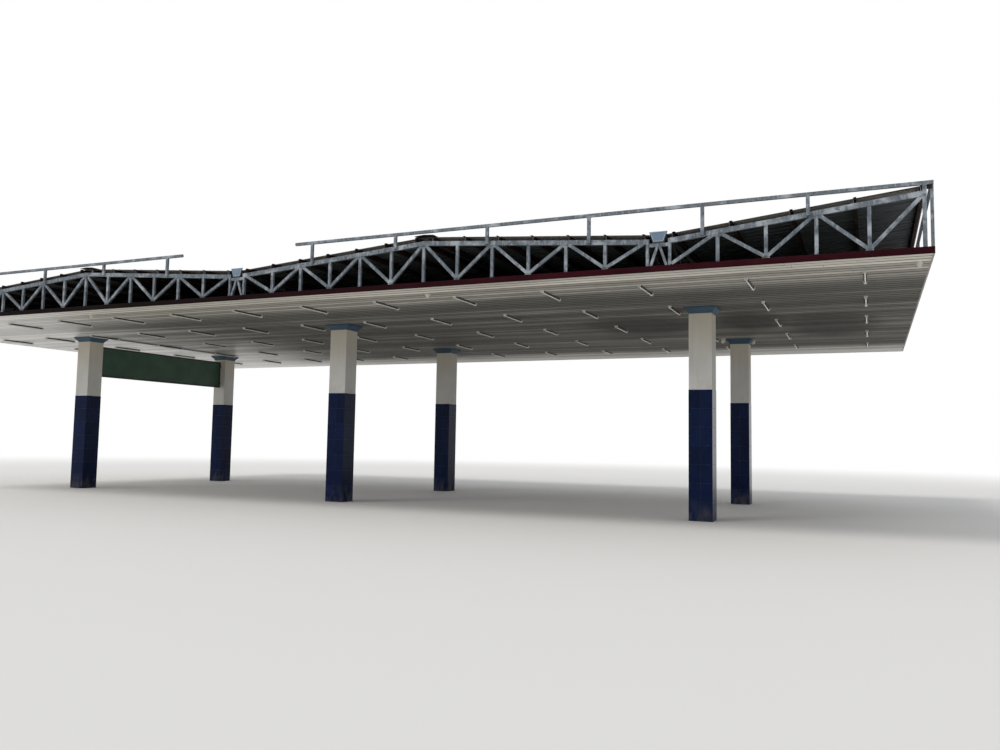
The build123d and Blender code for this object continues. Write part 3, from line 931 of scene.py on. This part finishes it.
@dataclass
class Joints(Assembly):
    """Gusset plates on the truss joints, cleats that hold the purlins and clamps at the corners."""

    gable_panels: int = 12
    wing_panels: int = 5
    chord: float = 0.09
    web: float = 0.06
    gauge: float = 0.006
    setback: float = 0.005
    gusset_reach: float = 0.062
    gusset_depth: float = 0.05
    gusset_corner: float = 0.04
    end_clear: float = 0.3
    truss_half: float = 0.03
    cleat_half: float = 0.025
    cleat_height: float = 0.075
    cleat_foot: float = 0.06
    cleat_taper: float = 0.7
    cleat_bolt: float = 0.008
    bolt_place: Place = (-0.032, 0, 0.009)
    foot_round: float = 0.012
    clamp: Place = (0.075, 0.035, 0.04)
    clamp_round: float = 0.008
    clamp_lip: Pair = (0.012, -0.006)
    clamp_bolt: Pair = (0.011, 0.082)
    clamp_bolts: float = 0.04
    clamp_set_in: Place = (0.1, 0.06, -0.06)

    def gusset(self) -> Workpiece:
        """A small plate with rounded lower corners, upright along X, with its top at the origin."""
        reach, depth = self.gusset_reach, self.gusset_depth
        return Workpiece.block("gusset", (-reach, 0, -depth), (reach, self.gauge, 0)).worked(
            Part.EDGE, lambda at, way: abs(way.y) > MOSTLY and at.z < -MOSTLY * depth,
            rounded(self.gusset_corner, 4))

    def nodes(self) -> list[tuple[float, float, bool]]:
        """X and Z of the joints, and whether they are at the bottom."""
        plan, found = self.plan, []
        half, wing = (plan.bay - plan.girder) / 2, plan.slopes[-1]
        for centre in (-plan.bay / 2, plan.bay / 2):
            for index in range(1, self.gable_panels):
                u = half * (2 * index / self.gable_panels - 1)
                top = plan.chord_low + (plan.ridge - plan.chord_low) * (1 - abs(u) / half) - self.chord
                bottom = index % 2 == 1
                found.append((centre + u, plan.beam_top if bottom else top, bottom))
        for sign in (-1, 1):
            for index in range(1, self.wing_panels + 1):
                u = (wing.run - self.web / 2) * index / self.wing_panels
                top = plan.chord_low + wing.rise * u / wing.run - self.chord
                bottom = index % 2 == 0
                found.append((sign * (wing.low + u), plan.beam_top if bottom else top, bottom))
        return found

    def gussets(self, side: Side) -> Workpiece:
        """All gussets of the front or rear trusses.

        Args:
            side: which side of the canopy.

        Returns:
            The workpiece in its place.
        """
        depth, limit = self.plan.truss_face - self.setback, self.plan.half_length - self.end_clear
        turn, flip = turned(0.0 if side is Side.FRONT else math.pi), turned(math.pi, "Y")
        places = [shifted(x, side.value * depth, z) @ turn @ (flip if bottom else turned(0.0))
                  for x, z, bottom in self.nodes() if abs(x) <= limit]
        return self.gusset().repeated(f"gussets_{side.name.lower()}", places)

    def cleat(self) -> Workpiece:
        """An angle with a foot on the chord, its upright leg against the low side of a purlin."""
        half, top, gauge, foot = self.cleat_half, self.cleat_height, self.gauge, self.cleat_foot
        leg = Workpiece.block("cleat", (-gauge, -half, 0.0), (0.0, half, top))
        leg.worked(Part.FACE, UP, scaled(1, self.cleat_taper, (0, 0, top)))
        base = Workpiece.block("cleat_foot", (-foot, -half, 0.0), (-gauge, half, gauge))
        base.worked(Part.EDGE, lambda at, way: abs(way.z) > MOSTLY and at.x < -MOSTLY * foot,
                    rounded(self.foot_round, 2))
        bolt = Workpiece.rod("cleat_bolt", self.cleat_bolt, self.cleat_bolt, self.bolt_place, sides=6)
        return Workpiece.joined("cleat", [leg, base, bolt])

    def cleats(self) -> Workpiece:
        """The cleats on all chords."""
        edge = self.plan.truss_face - self.truss_half
        lines = (-edge, *self.plan.rows, edge)
        groups = [self.cleat().repeated("cleats", [
            shifted(row - slope.purlin_width / 2, line, 0) for row in slope.purlins for line in lines
        ]).placed(slope.frame) for slope in self.plan.slopes]
        return Workpiece.joined("purlin_cleats", groups)

    def corner_clamps(self) -> Workpiece:
        """A folded clamp with two bolts on the top of each corner post."""
        half, plan = Vector(self.clamp), self.plan
        clamp = Workpiece.block("corner_clamp", -half, half).softened(self.clamp_round, 2)
        clamp.worked(Part.FACE, lambda at, way: abs(way.y) > MOSTLY, inset(*self.clamp_lip))
        bolts = [Workpiece.rod("clamp_bolt", *self.clamp_bolt, (side * self.clamp_bolts, 0, 0),
                               (QUARTER, 0, 0), 6) for side in (-1, 1)]
        x, y, z = Vector((plan.half_length, plan.half_depth, plan.wing_top)) - Vector(self.clamp_set_in)
        places = [shifted(side_x * x, side_y * y, z) for side_x in (-1, 1) for side_y in (-1, 1)]
        return Workpiece.joined("corner_clamp", [clamp, *bolts]).repeated("corner_clamps", places)

    def build(self) -> None:
        """Builds the joints of all trusses."""
        for side in Side:
            self.dress(self.gussets(side), "frame_paint")
        self.dress(self.cleats(), "frame_paint")
        self.dress(self.corner_clamps(), "purlin_steel")


@dataclass
class RoofSkin(Assembly):
    """Rolled sheets with their ribs up the slope, a folded edge strip and screws on the ribs."""

    pitch: float = 0.241
    rib_top: float = 0.026
    rib_foot: float = 0.062
    rib_height: float = 0.025
    swage: float = 0.004
    swage_places: tuple[float, float, float] = (0.27, 0.31, 0.35)
    thickness: float = 0.0012
    purlin: float = 0.1
    lap: float = 0.11
    overhang: float = 0.03
    ridge_gap: float = 0.015
    edge_width: float = 0.035
    edge_gauge: float = 0.0015
    edge_fold: float = 0.002
    edge_drop: float = 0.024
    edge_kick: float = 0.004
    washer: Pair = (0.011, 0.003)
    screw_head: float = 0.006

    @property
    def count(self) -> int:
        """How many ribs a slope has."""
        return round(2 * self.plan.sheet_edge / self.pitch)

    @property
    def width(self) -> float:
        """Width of one rib with its pans."""
        return 2 * self.plan.sheet_edge / self.count

    def end(self, slope: Slope) -> float:
        """How far up the slope the sheet reaches."""
        return slope.length + self.overhang if slope.wing else slope.length - self.ridge_gap

    def sheet(self, slope: Slope) -> Workpiece:
        """All the sheeting of one slope, from one rib with its pans and a small swage in each pan.

        Args:
            slope: the slope that it covers.

        Returns:
            The workpiece in its place.
        """
        width, top, foot = self.width, self.rib_top / 2, self.rib_foot / 2
        swages = [side * width * share for side in (-1, 1) for share in self.swage_places]
        crest = width * self.swage_places[1]
        skin = Workpiece.sheet(f"rolled_roof_sheet_{slope.name}", self.end(slope) + self.lap, width)
        skin.sliced([-foot, -top, top, foot, *swages])
        skin.worked(Part.CORNER, lambda at, way: abs(at.y) < top + NEAR, moved(0, 0, self.rib_height))
        skin.worked(Part.CORNER, lambda at, way: abs(abs(at.y) - crest) < NEAR, moved(0, 0, self.swage))
        skin.in_row(self.count, width)
        skin.placed(shifted(-self.lap, width / 2 - self.plan.sheet_edge, self.purlin + self.thickness))
        return skin.thickened(self.thickness, -1.0).placed(slope.frame)

    def edges(self, slope: Slope) -> Workpiece:
        """Folded strips over the two free edges of a slope's sheeting.

        Args:
            slope: the slope.

        Returns:
            The workpiece in its place.
        """
        edge, top, end = self.plan.sheet_edge, self.purlin + 2 * self.thickness, self.end(slope)
        strip = Workpiece.block("roof_edge", (-self.lap, -edge, top),
                                (end, self.edge_width - edge, top + self.edge_gauge))
        strip.worked(Part.FACE, TOWARDS_FRONT, pushed(0, -self.edge_fold, 0))
        strip.worked(Part.FACE, lambda at, way: DOWN(at, way) and at.y < -edge,
                     pushed(0, 0, -self.edge_drop), moved(0, -self.edge_kick, 0))
        places = [turned(0.0), shifted(end - self.lap, 0, 0) @ turned(math.pi)]
        return strip.repeated(f"roof_edges_{slope.name}", places).placed(slope.frame)

    def screws(self, slope: Slope) -> Workpiece:
        """Hexagon screws with washers on every second rib over each purlin.

        Args:
            slope: the slope that they hold.

        Returns:
            The workpiece in its place.
        """
        (radius, depth), size = self.washer, self.screw_head
        washer = Workpiece.rod("roof_washer", radius, depth, (0, 0, depth / 2), sides=8)
        head = Workpiece.rod("roof_screw", size, size, (0, 0, size / 2 + depth), sides=6)
        top = self.purlin + self.thickness + self.rib_height
        places = [shifted(row, (index + 0.5) * self.width - self.plan.sheet_edge, top)
                  for row in slope.purlins for index in range(0, self.count, 2)]
        screw = Workpiece.joined("roof_screw", [washer, head])
        return screw.repeated(f"roof_screws_{slope.name}", places).placed(slope.frame)

    def build(self) -> None:
        """Builds the skin of every slope."""
        for slope in self.plan.slopes:
            self.dress(self.sheet(slope), "roof_metal", f"roof_sheet_{slope.name}")
            self.dress(self.edges(slope), "roof_metal", finish="roof_edge")
            self.dress(self.screws(slope), "zinc_steel")


@dataclass
class StripCeiling(Assembly):
    """Narrow coated strips along the canopy, with a folded trim round the edge."""

    strips: int = 70
    groove: float = 0.02
    groove_side: float = 0.002
    flute: float = 0.01
    depth: float = 0.011
    thickness: float = 0.0015
    trim: float = 0.028
    trim_gauge: float = 0.002
    trim_drop: float = 0.003
    trim_rim: float = 0.003
    trim_upstand: float = 0.016

    def strip_field(self) -> Workpiece:
        """All strips, with the grooves between them."""
        plan = self.plan
        pitch = 2 * plan.half_depth / self.strips
        face = (pitch - self.groove) / 2
        field = Workpiece.sheet("strip_ceiling", 2 * plan.half_length, pitch)
        side = face + self.groove_side
        field.sliced([-face, face, -side, side, -self.flute, self.flute])
        field.worked(Part.CORNER, lambda at, way: abs(at.y) > face + self.groove_side / 2,
                     moved(0, 0, self.depth))
        field.in_row(self.strips, pitch)
        field.placed(shifted(-plan.half_length, pitch / 2 - plan.half_depth, plan.ceiling))
        return field.thickened(self.thickness, 1.0)

    def trims(self, name: str, turn: float, length: float, reach: float) -> Workpiece:
        """Two folded angles along opposite edges of the ceiling.

        Args:
            name: name of the piece.
            turn: angle of the pair about Z.
            length: length of each.
            reach: distance of their outer faces from the middle.

        Returns:
            The workpiece in its place.
        """
        low, rim = self.plan.ceiling - self.trim_drop, self.trim_rim
        angle = Workpiece.block(name, (-length / 2, -reach, low),
                                (length / 2, self.trim - reach, low + self.trim_gauge))
        angle.worked(Part.FACE, UP, inset(rim))
        angle.worked(Part.FACE, lambda at, way: UP(at, way) and at.y < rim / 2 + NEAR - reach,
                     pushed(0, 0, self.trim_upstand))
        return angle.repeated(name, [turned(turn + half) for half in (0.0, math.pi)])

    def build(self) -> None:
        """Builds the strips and the trim."""
        length, depth = self.plan.half_length, self.plan.half_depth
        self.dress(self.strip_field(), "ceiling_metal", "ceiling")
        self.dress(self.trims("ceiling_trim_sides", 0.0, 2 * length, depth), "edge_paint")
        self.dress(self.trims("ceiling_trim_ends", QUARTER, 2 * (depth - self.trim), length),
                   "ceiling_metal", finish="ceiling_trim")


@dataclass
class Lights(Assembly):
    """Batten fittings under the ceiling: a dark channel that is painted shade, a pale tube and its two
    holders.
    """

    rows: int = 5
    fittings: int = 14
    width: float = 0.08
    channel: float = 0.052
    channel_depth: float = 0.026
    channel_taper: float = 0.8
    channel_lip: Pair = (0.006, -0.004)
    drop: float = 0.055
    holder: float = 0.034
    holder_taper: float = 0.62
    holder_lip: Pair = (0.006, -0.003)
    holder_round: float = 0.012
    tube_radius: float = 0.011
    tube_clear: float = 0.013
    cap: Pair = (0.002, 0.008)

    def channels(self, length: float) -> Workpiece:
        """The channel, even about the origin, under z = 0."""
        half, end, depth = self.channel / 2, length / 2 - self.holder, self.channel_depth
        return Workpiece.block("light_channel", (-half, -end, -depth), (half, end, 0)).worked(
            Part.FACE, DOWN, scaled(self.channel_taper, 1, (0, 0, -depth)), inset(*self.channel_lip))

    def holders(self, length: float) -> Workpiece:
        """The two holders, wider at the ceiling, with a rounded lower edge.

        Args:
            length: length of the fitting.

        Returns:
            The pair about the origin.
        """
        half, drop = self.width / 2, self.drop
        holder = Workpiece.block("light_holder", (-half, -length / 2, -drop),
                                 (half, self.holder - length / 2, 0))
        holder.worked(Part.FACE, DOWN, scaled(self.holder_taper, 1, (0, 0, -drop)))
        holder.worked(Part.EDGE, lambda at, way: abs(way.y) > MOSTLY and at.z < -MOSTLY * drop,
                      rounded(self.holder_round, 3))
        holder.worked(Part.FACE, TOWARDS_FRONT, inset(*self.holder_lip))
        return holder.repeated("light_holders", BOTH_ENDS)

    def tube(self, length: float) -> Workpiece:
        """The tube with a narrower cap at each end."""
        reach, height = length - 2 * (self.holder + self.cap[1]), self.tube_clear - self.drop
        return Workpiece.rod("light_tube", self.tube_radius, reach, (0, 0, height), (QUARTER, 0, 0)).worked(
            Part.FACE, lambda at, way: abs(way.y) > MOSTLY, inset(*self.cap))

    def build(self) -> None:
        """Builds every row of fittings in place of its node."""
        for row in range(1, self.rows + 1):
            node = f"lights_row_{row}"
            low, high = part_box(node)
            length, middle = high.y - low.y, (high.y + low.y) / 2
            pitch = (high.x - low.x - self.width) / (self.fittings - 1)
            places = [shifted(low.x + self.width / 2 + pitch * index, middle, high.z)
                      for index in range(self.fittings)]
            for name, pattern, finish, nodes in (("holders", self.holders, "light_cover", [node]),
                                                 ("channels", self.channels, "light_channel", []),
                                                 ("tubes", self.tube, "light_tube", [])):
                piece = pattern(length).repeated(f"light_{name}_{row}", places)
                self.dress(piece, "light_cover", *nodes, finish=finish)


@dataclass
class Columns(Assembly):
    """Tiles on the lower columns with a pale edge strip, and moulded capitals."""

    across: int = 2
    courses: int = 7
    joint: float = 0.003
    tile_depth: float = 0.006
    tile_edge: float = 0.002
    bed_depth: float = 0.003
    trim_height: float = 0.012
    trim_lap: float = 0.001
    trim_taper: float = 0.986
    band: float = 0.04
    foot_bead: float = 0.014
    bead_step: float = 0.005
    band_step: float = 0.004
    cove_curve: float = 1.35
    steps: int = 5
    edge: float = 0.002

    def tiles(self) -> Workpiece:
        """All tiles of one column, about the origin."""
        reach, depth, half = self.plan.dado, self.tile_depth, self.joint / 2
        wide, high = 2 * reach / self.across, self.plan.tile_top / self.courses
        tile = Workpiece.block("tile", (half, -depth, half), (wide - half, 0, high - half))
        tile.worked(Part.EDGE, lambda at, way: at.y < -MOSTLY * depth, rounded(self.tile_edge, 2))
        face = tile.repeated("tile_face", [shifted(wide * i - reach, depth - reach, high * k)
                                           for i in range(self.across) for k in range(self.courses)])
        return face.repeated("column_tiles", [turned(QUARTER * quarter) for quarter in range(4)])

    def bed(self) -> Workpiece:
        """The bed that shows in the joints."""
        reach, top = self.plan.dado - self.bed_depth, self.plan.tile_top - self.edge
        return Workpiece.block("tile_bed", (-reach, -reach, 0), (reach, reach, top)).softened(self.bed_depth)

    def trim(self) -> Workpiece:
        """The pale strip that closes the tiles at the top."""
        reach, top = self.plan.dado, self.plan.tile_top
        strip = Workpiece.block("tile_trim", (-reach, -reach, top - self.trim_lap),
                                (reach, reach, top + self.trim_height))
        strip.worked(Part.FACE, UP, scaled(self.trim_taper, self.trim_taper, (0, 0, top)))
        return strip.softened(self.edge)

    def capital(self) -> Workpiece:
        """A moulded capital about the origin: a bead, a shallow cove and an upright band."""
        low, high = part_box("capitals_front")
        start, reach = self.plan.dado, high.x - self.plan.bay
        block = Workpiece.block("capital", (-start, -start, low.z), (start, start, low.z + self.foot_bead))
        rise = high.z - low.z - self.band - self.foot_bead
        block.grown(0.0, 1 - self.bead_step / start)
        now = start - self.bead_step
        for step in range(1, self.steps + 1):
            share = (step / self.steps) ** self.cove_curve
            then = start + (reach - self.band_step - start) * share
            block.grown(rise / self.steps, then / now)
            now = then
        return block.grown(0.0, reach / now).grown(self.band, 1.0).softened(self.edge)

    def build(self) -> None:
        """Builds the dressed columns."""
        for row, y in zip(("front", "rear"), self.plan.rows):
            places = [shifted(x, y, 0) for x in self.plan.lines]
            for name, pattern, slot, finish, nodes in (
                    ("tiles", self.tiles, "glazed_tile", "", [f"column_tiles_{row}"]),
                    ("tile_beds", self.bed, "glazed_tile", "tile_grout", []),
                    ("tile_trims", self.trim, "column_render", "tile_trim", []),
                    ("moulded_capitals", self.capital, "capital_paint", "", [f"capitals_{row}"])):
                self.dress(pattern().repeated(f"{name}_{row}", places), slot, *nodes, finish=finish)


@dataclass
class GutterEnds(Assembly):
    """End plates of the valley gutters, set in from the trough's edge, with a raised pale rim."""

    rim: float = 0.013
    proud: float = 0.004
    inset: float = 0.013
    raised: float = 0.028
    half_bottom: float = 0.088

    def plate(self, name: str, side: Side, x: float) -> Workpiece:
        """A trapezium over one end of a trough.

        Args:
            name: name of the piece.
            side: which side of the canopy.
            x: middle of the gutter.

        Returns:
            The workpiece in its place.
        """
        low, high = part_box("gutter_middle")
        face = side.value * high.y
        near, far = sorted((face, face + side.value * self.proud))
        return Workpiece.block(name, (x + low.x + self.inset, near, low.z + self.raised),
                               (x + high.x - self.inset, far, high.z)).worked(
            Part.FACE, DOWN, scaled(self.half_bottom / (high.x - self.inset), 1, (x, face, low.z)))

    def ring(self, side: Side, x: float) -> Workpiece:
        """The rim of one end plate.

        Args:
            side: which side of the canopy.
            x: middle of the gutter.

        Returns:
            The workpiece in its place.
        """
        outer, remove = facing(0, side.value, 0), partial(bpy.ops.mesh.delete, type="FACE")
        ring = self.plate("gutter_rim", side, x).worked(Part.FACE, outer, inset(self.rim), remove)
        ring.worked(Part.FACE, lambda at, way: not outer(at, way), remove)
        return ring.thickened(self.proud, 1.0)

    def build(self) -> None:
        """Builds the plates and rims of both sides."""
        ends = [(side, x) for side in Side for x in self.plan.lines]
        plates = [self.plate("gutter_end", *end) for end in ends]
        self.dress(Workpiece.joined("gutter_end_plates", plates), "zinc_steel")
        rims = [self.ring(*end) for end in ends]
        self.dress(Workpiece.joined("gutter_end_rims", rims), "zinc_steel", finish="zinc_rim")


@dataclass
class SignBoard(Assembly):
    """The bare board, a pan in four lengths with folded edges, and the lugs of its frame."""

    fold: float = 0.03
    sunk: float = 0.006
    lengths: int = 4
    lug: Place = (0.03, 0.04, 0.08)
    lug_round: float = 0.005
    lug_low: float = 0.12
    lug_high: float = 0.2

    def build(self) -> None:
        """Builds the board in place of its panel, and the lugs."""
        low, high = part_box("sign_panel")
        board = Workpiece.block("sign_board", low, high)
        for side in (-1, 1):
            board.worked(Part.FACE, facing(side, 0, 0), inset(self.fold, -self.sunk))
        board.sliced([low.y + (high.y - low.y) * index / self.lengths for index in range(1, self.lengths)])
        self.dress(board, "sign_paint", "sign_panel")
        low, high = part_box("sign_frame")
        spots = [Vector((high.x, y, z)) for y in (low.y, high.y - self.lug[1])
                 for z in (low.z + self.lug_low, high.z - self.lug_high)]
        lugs = [Workpiece.block("sign_lug", spot, spot + Vector(self.lug)).softened(self.lug_round, 2)
                for spot in spots]
        self.dress(Workpiece.joined("sign_lugs", lugs), "sign_trim")


@dataclass
class CeilingFittings(Assembly):
    """Round sockets along the front of the ceiling and two small lamps by the rear right column."""

    sockets: tuple[Pair, ...] = ((13.73, -6.63), (4.54, -6.6), (-5.23, -6.63))
    lamps: tuple[Pair, ...] = ((9.14, 2.5), (9.91, 2.95))
    base: Pair = (0.055, 0.03)
    cup_rim: float = 0.018
    cup_depth: float = 0.05
    cup_taper: float = 0.8
    foot: Place = (0.06, 0.04, 0.03)
    foot_round: float = 0.008
    can: Pair = (0.05, 0.1)
    can_place: Place = (0, 0, -0.08)
    can_turn: Place = (0.6, 0.3, 0)
    can_lip: Pair = (0.008, -0.02)

    def socket(self) -> Workpiece:
        """A base with a tapered cup below it, its top at the origin."""
        (radius, depth), taper = self.base, self.cup_taper
        return Workpiece.rod("ceiling_socket", radius, depth, (0, 0, -depth / 2), sides=20).worked(
            Part.FACE, DOWN, inset(self.cup_rim), pushed(0, 0, -self.cup_depth),
            scaled(taper, taper, (0, 0, 0)))

    def lamp(self) -> Workpiece:
        """A rounded base with a tilted can under it, its top at the origin."""
        x, y, z = self.foot
        foot = Workpiece.block("lamp_base", (-x, -y, -z), (x, y, 0)).softened(self.foot_round, 2)
        can = Workpiece.rod("lamp_head", *self.can, self.can_place, self.can_turn, 16)
        can.worked(Part.FACE, lambda at, way: way.z < -0.6, inset(*self.can_lip))
        return Workpiece.joined("small_lamp", [foot, can])

    def build(self) -> None:
        """Builds the fittings."""
        groups = [pattern.repeated(name, [shifted(x, y, self.plan.ceiling) for x, y in spots])
                  for name, pattern, spots in (("sockets", self.socket(), self.sockets),
                                               ("lamps", self.lamp(), self.lamps))]
        self.dress(Workpiece.joined("ceiling_fittings", groups), "light_cover")


@dataclass
class Studio:
    """Pale floor, plain soft light and a camera where the photographer stood."""

    eye: Place = (12.9544, -21.7301, 1.65)
    right: Place = (0.9141119, 0.4051100, 0.0168897)
    up: Place = (0.0168229, -0.0795137, 0.9966918)
    lens: float = 30.0468
    sensor: float = 36.0
    sight: float = 400.0
    floor_reach: float = 140.0
    floor_level: float = -0.002
    floor_colour: Colour = (0.8, 0.79, 0.77)
    floor_shade: Colour = (0.74, 0.73, 0.71)
    fade: Pair = (24.0, 52.0)
    sky: Colour = (0.94, 0.965, 1.0)
    soft_light: float = 0.6
    lamp_colour: Colour = (1.0, 0.975, 0.94)
    lamps: tuple[tuple[str, float, Place, float], ...] = (
        ("high_lamp", 1.15, (-0.45, -0.6, 0.9), 0.35), ("low_lamp", 0.95, (-0.62, -0.78, 0.26), 0.5))

    def camera(self) -> None:
        """Puts the camera in its place."""
        data = bpy.data.cameras.new("photo_camera")
        data.lens, data.sensor_width, data.clip_end = self.lens, self.sensor, self.sight
        camera = bpy.data.objects.new("photo_camera", data)
        right, up = Vector(self.right), Vector(self.up)
        view = Matrix((right, up, right.cross(up))).transposed().to_4x4()
        camera.matrix_world = Matrix.Translation(self.eye) @ view
        bpy.context.scene.collection.objects.link(camera)
        bpy.context.scene.camera = camera

    def floor(self) -> None:
        """A wide pale floor that turns white for the camera far from the canopy."""
        deselect()
        bpy.ops.mesh.primitive_plane_add(size=2 * self.floor_reach, location=(0, 0, self.floor_level))
        floor = bpy.context.object
        floor.name = "studio_floor"
        mix = Recipe("studio_floor")
        mix.made(mix.coats(self.floor_colour, (mix.noise(0.8, 4.0) * 0.1, self.floor_shade)), 0.9)
        away = mix.node("VectorMath", {0: mix.place}, "Value", operation="LENGTH")
        white = mix.node("Emission", {"Color": WHITE, "Strength": 1.0})
        share = away.within(*self.fade) * (mix.ray("Camera") | mix.ray("Glossy"))
        blend = mix.blended(share, Signal(mix, mix.surface.outputs[0]), white)
        mix.feed(mix.tree.nodes["Material Output"].inputs["Surface"], blend)
        floor.data.materials.append(mix.material)

    def world(self) -> None:
        """Plain light from all sides, white to the camera, to gloss and to glass."""
        world = bpy.data.worlds.new("studio")
        bpy.context.scene.world = world
        world.use_nodes = True
        world.node_tree.nodes.clear()
        nodes = Nodes(world.node_tree)
        shown = nodes.ray("Camera") | nodes.ray("Glossy") | nodes.ray("Transmission")
        light = nodes.node("Background", {"Color": self.sky, "Strength": self.soft_light})
        white = nodes.node("Background", {"Color": WHITE, "Strength": 1.0})
        output = nodes.tree.nodes.new("ShaderNodeOutputWorld")
        nodes.feed(output.inputs["Surface"], nodes.blended(shown, light, white))

    def sun(self, name: str, strength: float, way: Place, spread: float) -> None:
        """A soft lamp from far away.

        Args:
            name: name of the lamp.
            strength: its strength.
            way: where it stands, seen from the canopy.
            spread: how wide it is, in radians.
        """
        data = bpy.data.lights.new(name, "SUN")
        data.energy, data.angle, data.color = strength, spread, self.lamp_colour
        lamp = bpy.data.objects.new(name, data)
        lamp.rotation_euler = Vector(way).to_track_quat("Z", "Y").to_euler()
        lamp.visible_glossy = False
        bpy.context.scene.collection.objects.link(lamp)

    def build(self) -> None:
        """Builds the whole studio."""
        bpy.context.scene.view_settings.view_transform = "Standard"
        self.camera()
        self.floor()
        self.world()
        for lamp in self.lamps:
            self.sun(*lamp)


# ---- the whole -------------------------------------------------------------------------------------


def finishes(plan: Plan) -> dict[str, Material]:
    """Makes every finish once.

    Args:
        plan: the canopy's plan.

    Returns:
        The materials by the name of their slot or use.
    """
    strip = 2 * plan.half_depth / StripCeiling.strips
    tile = (2 * plan.dado / Columns.across, plan.tile_top / Columns.courses)
    outer = (plan.half_length - OUTER_STEEL[0], plan.truss_face - OUTER_STEEL[1])
    no_edge = 2 * plan.half_depth
    grout = (0.02, 0.022, 0.032)
    made = [
        SmoothRender("column_render", (0.6, 0.59, 0.56), (0.53, 0.52, 0.49), (0.56, 0.515, 0.42)),
        SmoothRender("tile_grout", grout, (0.014, 0.016, 0.024), grout),
        GlazedTile("glazed_tile", (0.0025, 0.008, 0.036), (0.004, 0.012, 0.052), tile),
        SatinPaint("tile_trim", (0.5, 0.52, 0.55), (0.58, 0.58, 0.58)),
        SatinPaint("capital_paint", (0.042, 0.078, 0.118), (0.058, 0.1, 0.145), 0.5),
        StripMetal("ceiling_metal", (0.86, 0.82, 0.73), (0.12, 0.118, 0.108), strip, plan.half_depth),
        # edge beam and side trims darken to the left with painted shade
        Primer("edge_paint", (0.027, 0.003, 0.006), (0.042, 0.012, 0.014), 0.88),
        SteelPaint("frame_paint", (0.11, 0.13, 0.15), (0.31, 0.34, 0.37), (0.055, 0.066, 0.08),
                   (0.03, 0.027, 0.027), outer),
        Primer("purlin_steel", (0.05, 0.027, 0.022), (0.1, 0.065, 0.05)),
        RolledSheet("roof_metal", (0.36, 0.375, 0.37), (0.12, 0.138, 0.146), plan.sheet_edge),
        RolledSheet("ridge_metal", (0.3, 0.31, 0.305), (0.03, 0.028, 0.026), no_edge),
        SatinPaint("roof_edge", (0.05, 0.048, 0.045), (0.035, 0.033, 0.03), 0.55),
        SatinPaint("ceiling_trim", (0.34, 0.33, 0.3), (0.28, 0.27, 0.24)),
        Zinc("zinc_steel", (0.14, 0.2, 0.275), (0.21, 0.28, 0.36)),
        Zinc("zinc_rim", (0.3, 0.36, 0.42), (0.4, 0.45, 0.5)),
        # gutter troughs: their dark sides and underside are painted shade
        RolledSheet("zinc_trough", (0.24, 0.26, 0.28), (0.05, 0.054, 0.058), no_edge),
        SatinPaint("light_cover", (0.7, 0.69, 0.65), (0.6, 0.585, 0.53)),
        # painted shade: the channels are dark for the shade on their sides
        SatinPaint("light_channel", (0.045, 0.045, 0.04), (0.07, 0.07, 0.06), 0.5),
        TubeGlass("light_tube", (0.85, 0.85, 0.8)),
        SatinPaint("sign_trim", (0.03, 0.034, 0.034), (0.05, 0.055, 0.055), 0.5),
        SatinPaint("sign_paint", (0.034, 0.08, 0.05), (0.052, 0.11, 0.068), 0.45),
    ]
    return {finish.name: finish.made() for finish in made}


def dress_nodes(frame: dict, made: dict[str, Material]) -> None:
    """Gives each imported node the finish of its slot, and gutters and ridges one of their own.

    Args:
        made: the materials by slot.
    """
    slots = {part["node"]: part["material_slot"] for part in frame["record"]["subparts"]}
    for name, thing in frame["nodes"].items():
        thing.data.materials.clear()
        thing.data.materials.append(made[OWN_FINISH.get(name.split("_")[0], slots[name])])


def main() -> None:
    """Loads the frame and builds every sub-assembly."""
    logging.basicConfig(level=logging.INFO, format="%(message)s")
    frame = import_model()
    plan = Plan.read()
    made = finishes(plan)
    dress_nodes(frame, made)
    Studio().build()
    for kind in (Joints, RoofSkin, StripCeiling, Lights, Columns, GutterEnds, SignBoard, CeilingFittings):
        kind(plan, made).build()


if __name__ == "__main__":
    main()
